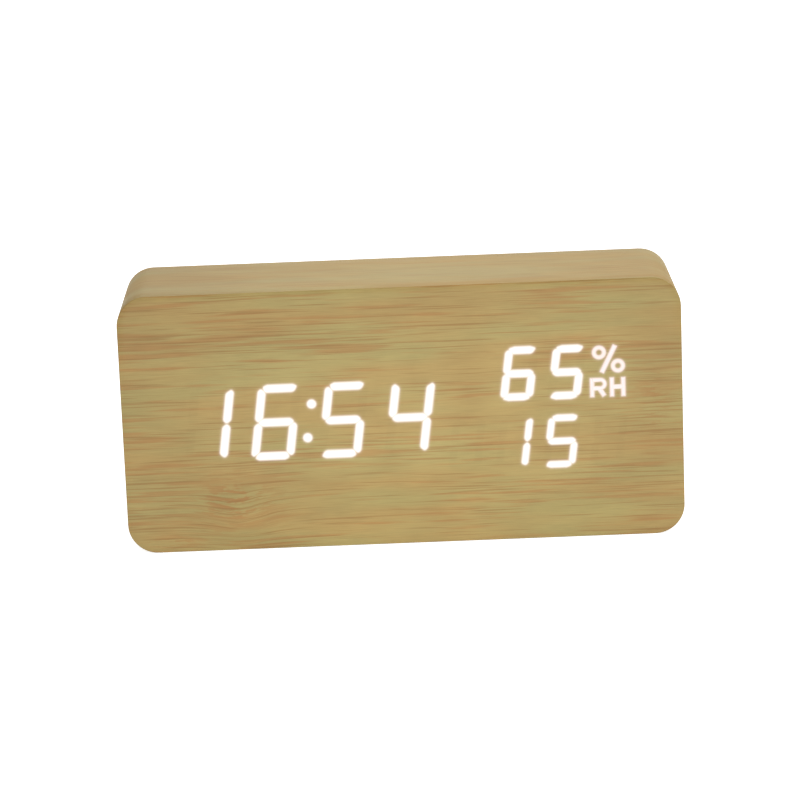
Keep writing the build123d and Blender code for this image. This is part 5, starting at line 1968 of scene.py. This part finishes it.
@dataclass
class Cells:
    """Three dry cells in the bay, head to tail, with their springs and leads."""

    low_x: float = 7.5
    high_x: float = 58.5
    axis_y: float = 10.8
    rows: tuple[float, ...] = (23.917, 35.25, 46.583)
    radius: float = 5.2
    body_length: float = 43.7
    nub_length: float = 0.8
    nub_radius: float = 1.9
    contact: float = 0.4
    around: int = 56
    wire_radius: float = 0.3
    coil_radius: float = 3.4
    coil_taper: float = 1.4
    coil_turns: float = 3.0
    coil_play: float = 0.02
    lead_y: float = 3.2
    lead_end_x: float = -1.0
    lead_radius: float = 0.65
    long_lead: float = 20.0

    def cell(self) -> list[Pair]:
        """Profile of a cell from its raised end to its flat end.

        Returns:
            Radius, and distance from the raised end, of each ring.
        """
        r, n, total = self.radius, self.nub_radius, self.nub_length + self.body_length
        nub = [(0.05, 0.0), (n * 0.86, 0.0), (n * 0.97, 0.05), (n, 0.2), (n, 0.72), (n + 0.18, 0.8)]
        seal = [(n + 0.2, 1.05), (r * 0.80, 1.05), (r * 0.82, 0.82), (r * 0.90, 0.80)]
        shoulder = [(r * 0.97, 0.88), (r, 1.2), (r, 1.9), (r - 0.06, 2.05), (r, 2.2)]
        body = [(r, total * 0.3), (r, total * 0.6), (r, total - 0.7), (r * 0.97, total - 0.2)]
        foot = [(r * 0.90, total - 0.02), (r * 0.84, total)]
        end = [(radius, total - 0.15) for radius in (r * 0.80, r * 0.30, 0.05)]
        return [*nub, *seal, *shoulder, *body, *foot, *end]

    def build(self) -> None:
        """Makes the cells, the springs and the leads."""
        for row, z in enumerate(self.rows):
            self.cell_piece(row, z)
        springs = joined_shapes(self.spring(row, z) for row, z in enumerate(self.rows))
        make_piece(
            "contact_springs",
            springs,
            Body.CLOCK,
            NICKEL,
            ("battery_springs",),
            sharp_degrees=60.0,
        )
        for colour, start_x, z, slot, finish in (
            ("black", self.low_x, self.rows[0], Slot.BLACK_WIRE, BLACK_WIRE),
            ("red", self.high_x - self.contact, self.rows[-1], Slot.RED_WIRE, RED_WIRE),
        ):
            shape = self.lead(start_x, z)
            name, node = f"{colour}_battery_lead", f"{colour}_lead"
            make_piece(name, shape, Body.CLOCK, finish, (node,))
        dress_nodes(
            NICKEL, "negative_contact", "positive_contact", "low_link_contact", "high_link_contact"
        )

    def cell_piece(self, row: int, z: float) -> None:
        """One cell: its profile turned round the cell's axis, along X.

        Args:
            row: which one, from below.
            z: height of its axis.
        """
        profile = self.cell()
        way = -1.0 if row % 2 == 0 else 1.0
        start = self.high_x - self.contact if way < 0 else self.low_x + self.contact
        rings = turned(profile, self.around)
        x, y, up = start + way * rings[..., 2], self.axis_y + rings[..., 0], z + rings[..., 1]
        piece = make_piece(
            f"dry_cell_{row + 1}",
            stacked_rings(np.stack([x, y, up], -1)),
            Body.CLOCK,
            JacketFinish(f"cell_jacket_{row + 1}", float(row)),
            (f"battery_cell_{row + 1}",),
            sharp_degrees=28.0,
        )
        distance = np.array([height for _, height in profile])
        bare = np.zeros(len(profile))
        bare[:7] = bare[-3:] = 1.0
        total = self.nub_length + self.body_length
        for name, values in (("along", 1.0 - distance / total), ("bare", bare)):
            write_field(piece.data, name, np.repeat(values, self.around))

    def spring(self, row: int, z: float) -> Shape:
        """Coil whose radius falls evenly as it climbs, with a flat turn at each end.

        Args:
            row: which cell it presses on.
            z: height of the cell's axis.

        Returns:
            Closed tube.
        """
        t = np.linspace(0.0, 1.0, 200)
        climb = np.clip((t - 0.16) / 0.68, 0.0, 1.0)
        radius = self.coil_radius - self.coil_taper * t
        angle = FULL_TURN * self.coil_turns * t
        gap = self.high_x - self.contact - self.nub_length - self.body_length - self.low_x
        near = self.contact + self.wire_radius + self.coil_play
        far = gap - self.wire_radius - self.coil_play
        depth = near + (far - near) * climb
        x = self.low_x + depth if row % 2 == 0 else self.high_x - depth
        y, up = self.axis_y + radius * np.cos(angle), z + radius * np.sin(angle)
        return stacked_rings(tube_along(np.column_stack([x, y, up]), self.wire_radius, 10))

    def lead(self, start_x: float, z: float) -> Shape:
        """Insulated wire under the bay. A long one has a bare end and a rounded step to its jacket.

        Args:
            start_x: end at the contact's tag.
            z: its height.

        Returns:
            Closed shape: rings about a line along X.
        """
        end_x, r = self.lead_end_x, self.lead_radius
        steps = (start_x, start_x - 1.2, start_x - 1.25, start_x - 1.45, end_x + 0.3, end_x)
        x, radius = np.array(steps), np.array([0.25, 0.25, 0.5, r, r, r])
        if start_x < self.long_lead:
            x = np.interp(np.linspace(0.0, 1.0, 6), [0.0, 1.0], [start_x, end_x])
            radius = np.array([0.3, 0.6, r, r, r, r])
        rings = np.empty((6, 24, 3))
        rings[..., 0] = x[:, None]
        rings[..., 1:] = radius[:, None, None] * circle(24) + (self.lead_y, z)
        return stacked_rings(rings)


@dataclass
class BackPanel:
    """Moulded cover, battery door, power socket and cover screws."""

    screw_x: float = 67.0
    screw_low: float = 8.0
    screw_high: float = 62.5
    outer_y: float = 19.0

    def build(self) -> None:
        """Makes rounded copies of the moulded pieces and the four screws."""
        clock, plastic, steel = Body.CLOCK, Slot.BLACK_PLASTIC, Slot.CONTACT_STEEL
        refined_copy("rear_cover", "moulded_cover", clock, BLACK_SHELL, 0.18)
        refined_copy("battery_door", "moulded_door", Body.DOOR, BLACK_SHELL, 0.18)
        refined_copy("socket_shell", "power_socket", clock, NICKEL, 0.06)
        refined_copy("socket_tongue", "power_tongue", clock, BLACK_CHIP, 0.08)
        Screws(
            name="cover_screw_set",
            node="cover_screws",
            places=tuple(
                (x, z)
                for x in (-self.screw_x, self.screw_x)
                for z in (self.screw_low, self.screw_high)
            ),
            seat_y=self.outer_y,
            length=11.0,
            head_radius=2.5,
            head_height=0.9,
            shank_radius=1.3,
        ).build()


@dataclass
class Internals:
    """Fibreboard core, display module and control board."""

    board_back_y: float = -8.1
    ear_places: tuple[Pair, ...] = ((-49.25, 59.1), (50.75, 13.6))

    def build(self) -> None:
        """Dresses the CAD nodes that stay and makes the screws."""
        dress_nodes(FibreboardFinish(), "case_body")
        dress_nodes(FILM, "legend_film")
        dress_nodes(WHITE_PLASTIC, "segment_mask")
        dress_nodes(BoardFinish(), "display_board", "control_board")
        dress_nodes(LAMP, "led_chips")
        dress_nodes(BLACK_CHIP, "driver_chips", "mcu_chip", "switch_bodies", "sounder")
        dress_nodes(IVORY_PLASTIC, "display_header", "control_header", "lead_terminals")
        dress_nodes(RibbonFinish(), "ribbon_cable")
        dress_nodes(CAN, "microphone", "crystal", "capacitor")
        dress_nodes(SENSOR_PLASTIC, "climate_sensor")
        dress_nodes(IVORY_PLASTIC, "set_plunger", "up_plunger", "down_plunger")
        Screws(
            name="display_screw_set",
            node="display_screws",
            places=self.ear_places,
            seat_y=self.board_back_y,
            length=10.0,
            head_radius=2.2,
            head_height=1.6,
            shank_radius=1.1,
        ).build()


def frame_matrix(
    right: Sequence[float], up: Sequence[float], back: Sequence[float], place: Sequence[float]
) -> Matrix:
    """Matrix of a camera or a light that looks against its back direction.

    Args:
        right: its own X.
        up: its own Y.
        back: its own Z.
        place: where it is, in metres.

    Returns:
        World matrix.
    """
    rows = np.eye(4)
    rows[:3] = np.column_stack([right, up, back, place])
    return Matrix(rows.tolist())


@dataclass(frozen=True)
class Lamp:
    """Square soft light, with its place and side in metres and its power in watts."""

    name: str
    place: Triple
    size: float
    watts: float
    aim: Triple = (0.0, 0.0, 0.03)

    def build(self) -> None:
        """Makes the light and turns it to the point that it faces."""
        data = bpy.data.lights.new(self.name, "AREA")
        data.shape, data.size, data.energy = "SQUARE", self.size, self.watts
        back = unit(np.array(self.place) - np.array(self.aim))
        right = unit(np.cross((0.0, 0.0, 1.0), back))
        light = placed(self.name, data)
        light.matrix_world = frame_matrix(right, np.cross(back, right), back, self.place)


@dataclass
class Studio:
    """Camera of the photograph, white floor and soft lights."""

    azimuth: float = -0.159
    elevation: float = 13.869
    roll: float = 2.207
    distance: float = 925.469
    target: Triple = (-0.494, 0.0, 34.883)
    lens: float = 152.518
    sensor: float = 36.0
    clip_metres: Pair = (0.01, 50.0)
    world_strength: float = 0.62
    floor_half: float = 4000.0
    floor_z: float = -0.05
    floor_points: int = 9
    lamps: tuple[Lamp, ...] = (
        Lamp("front_light", (0.3, -1.3, 0.6), 1.2, 7.4),
        Lamp("right_light", (0.6, -0.6, 0.5), 0.5, 0.9),
        Lamp("rear_light", (0.1, 1.2, 1.0), 1.0, 7.0),
    )

    def camera(self) -> None:
        """Camera on a sphere about its target, then a roll.

        Its back direction is (sin a cos e, -cos a cos e, sin e).
        """
        a, e, roll = (math.radians(value) for value in (self.azimuth, self.elevation, self.roll))
        back = np.array([math.sin(a) * math.cos(e), -math.cos(a) * math.cos(e), math.sin(e)])
        right = np.array([math.cos(a), math.sin(a), 0.0])
        up = np.cross(back, right)
        rolled_right = math.cos(roll) * right - math.sin(roll) * up
        rolled_up = math.sin(roll) * right + math.cos(roll) * up
        data = bpy.data.cameras.new("photo_camera")
        data.sensor_width, data.lens = self.sensor, self.lens
        data.clip_start, data.clip_end = self.clip_metres
        camera = placed("photo_camera", data)
        place = (np.array(self.target) + back * self.distance) * MM
        camera.matrix_world = frame_matrix(rolled_right, rolled_up, back, place)
        bpy.context.scene.camera = camera

    def floor(self) -> None:
        """Wide flat sheet just under the clock, as a grid."""
        half = np.linspace(-self.floor_half, self.floor_half, self.floor_points)
        x, y = np.meshgrid(half, half)
        points = np.stack([x, y, np.full_like(x, self.floor_z)], -1).reshape(-1, 3)
        mesh = bpy.data.meshes.new("studio_floor")
        quads = grid_quads(self.floor_points, self.floor_points)
        mesh.from_pydata((points * MM).tolist(), [], quads.tolist())
        mesh.materials.append(material_of(FloorFinish()))
        floor = placed("studio_floor", mesh)

    def world(self) -> None:
        """Even white surroundings, seen as pure white and a little dimmer as a light."""
        world = bpy.data.worlds.new("studio")
        bpy.context.scene.world = world
        g = WorldGraph(world)
        white = {"Color": (1.0, 1.0, 1.0, 1.0)}
        dimmed = {**white, "Strength": self.world_strength}
        light, seen = (g.add("ShaderNodeBackground", look).outputs[0] for look in (dimmed, white))
        g.show(g.add("ShaderNodeMixShader", {0: g.seen_directly(), 1: light, 2: seen}))

    def build(self) -> None:
        """Sets up the camera, the floor, the lights and the colour management."""
        self.camera()
        self.floor()
        self.world()
        for lamp in self.lamps:
            lamp.build()
        bpy.context.scene.view_settings.view_transform = "Standard"


def main() -> None:
    """Builds the clock from the outside in, then the studio."""
    logging.basicConfig(level=logging.INFO, format="%(name)s: %(message)s")
    display = GlowingDisplay()
    Veneers().build(display)
    display.build()
    BackPanel().build()
    Buttons().build()
    Cells().build()
    Internals().build()
    Studio().build()


if __name__ == "__main__":
    main()
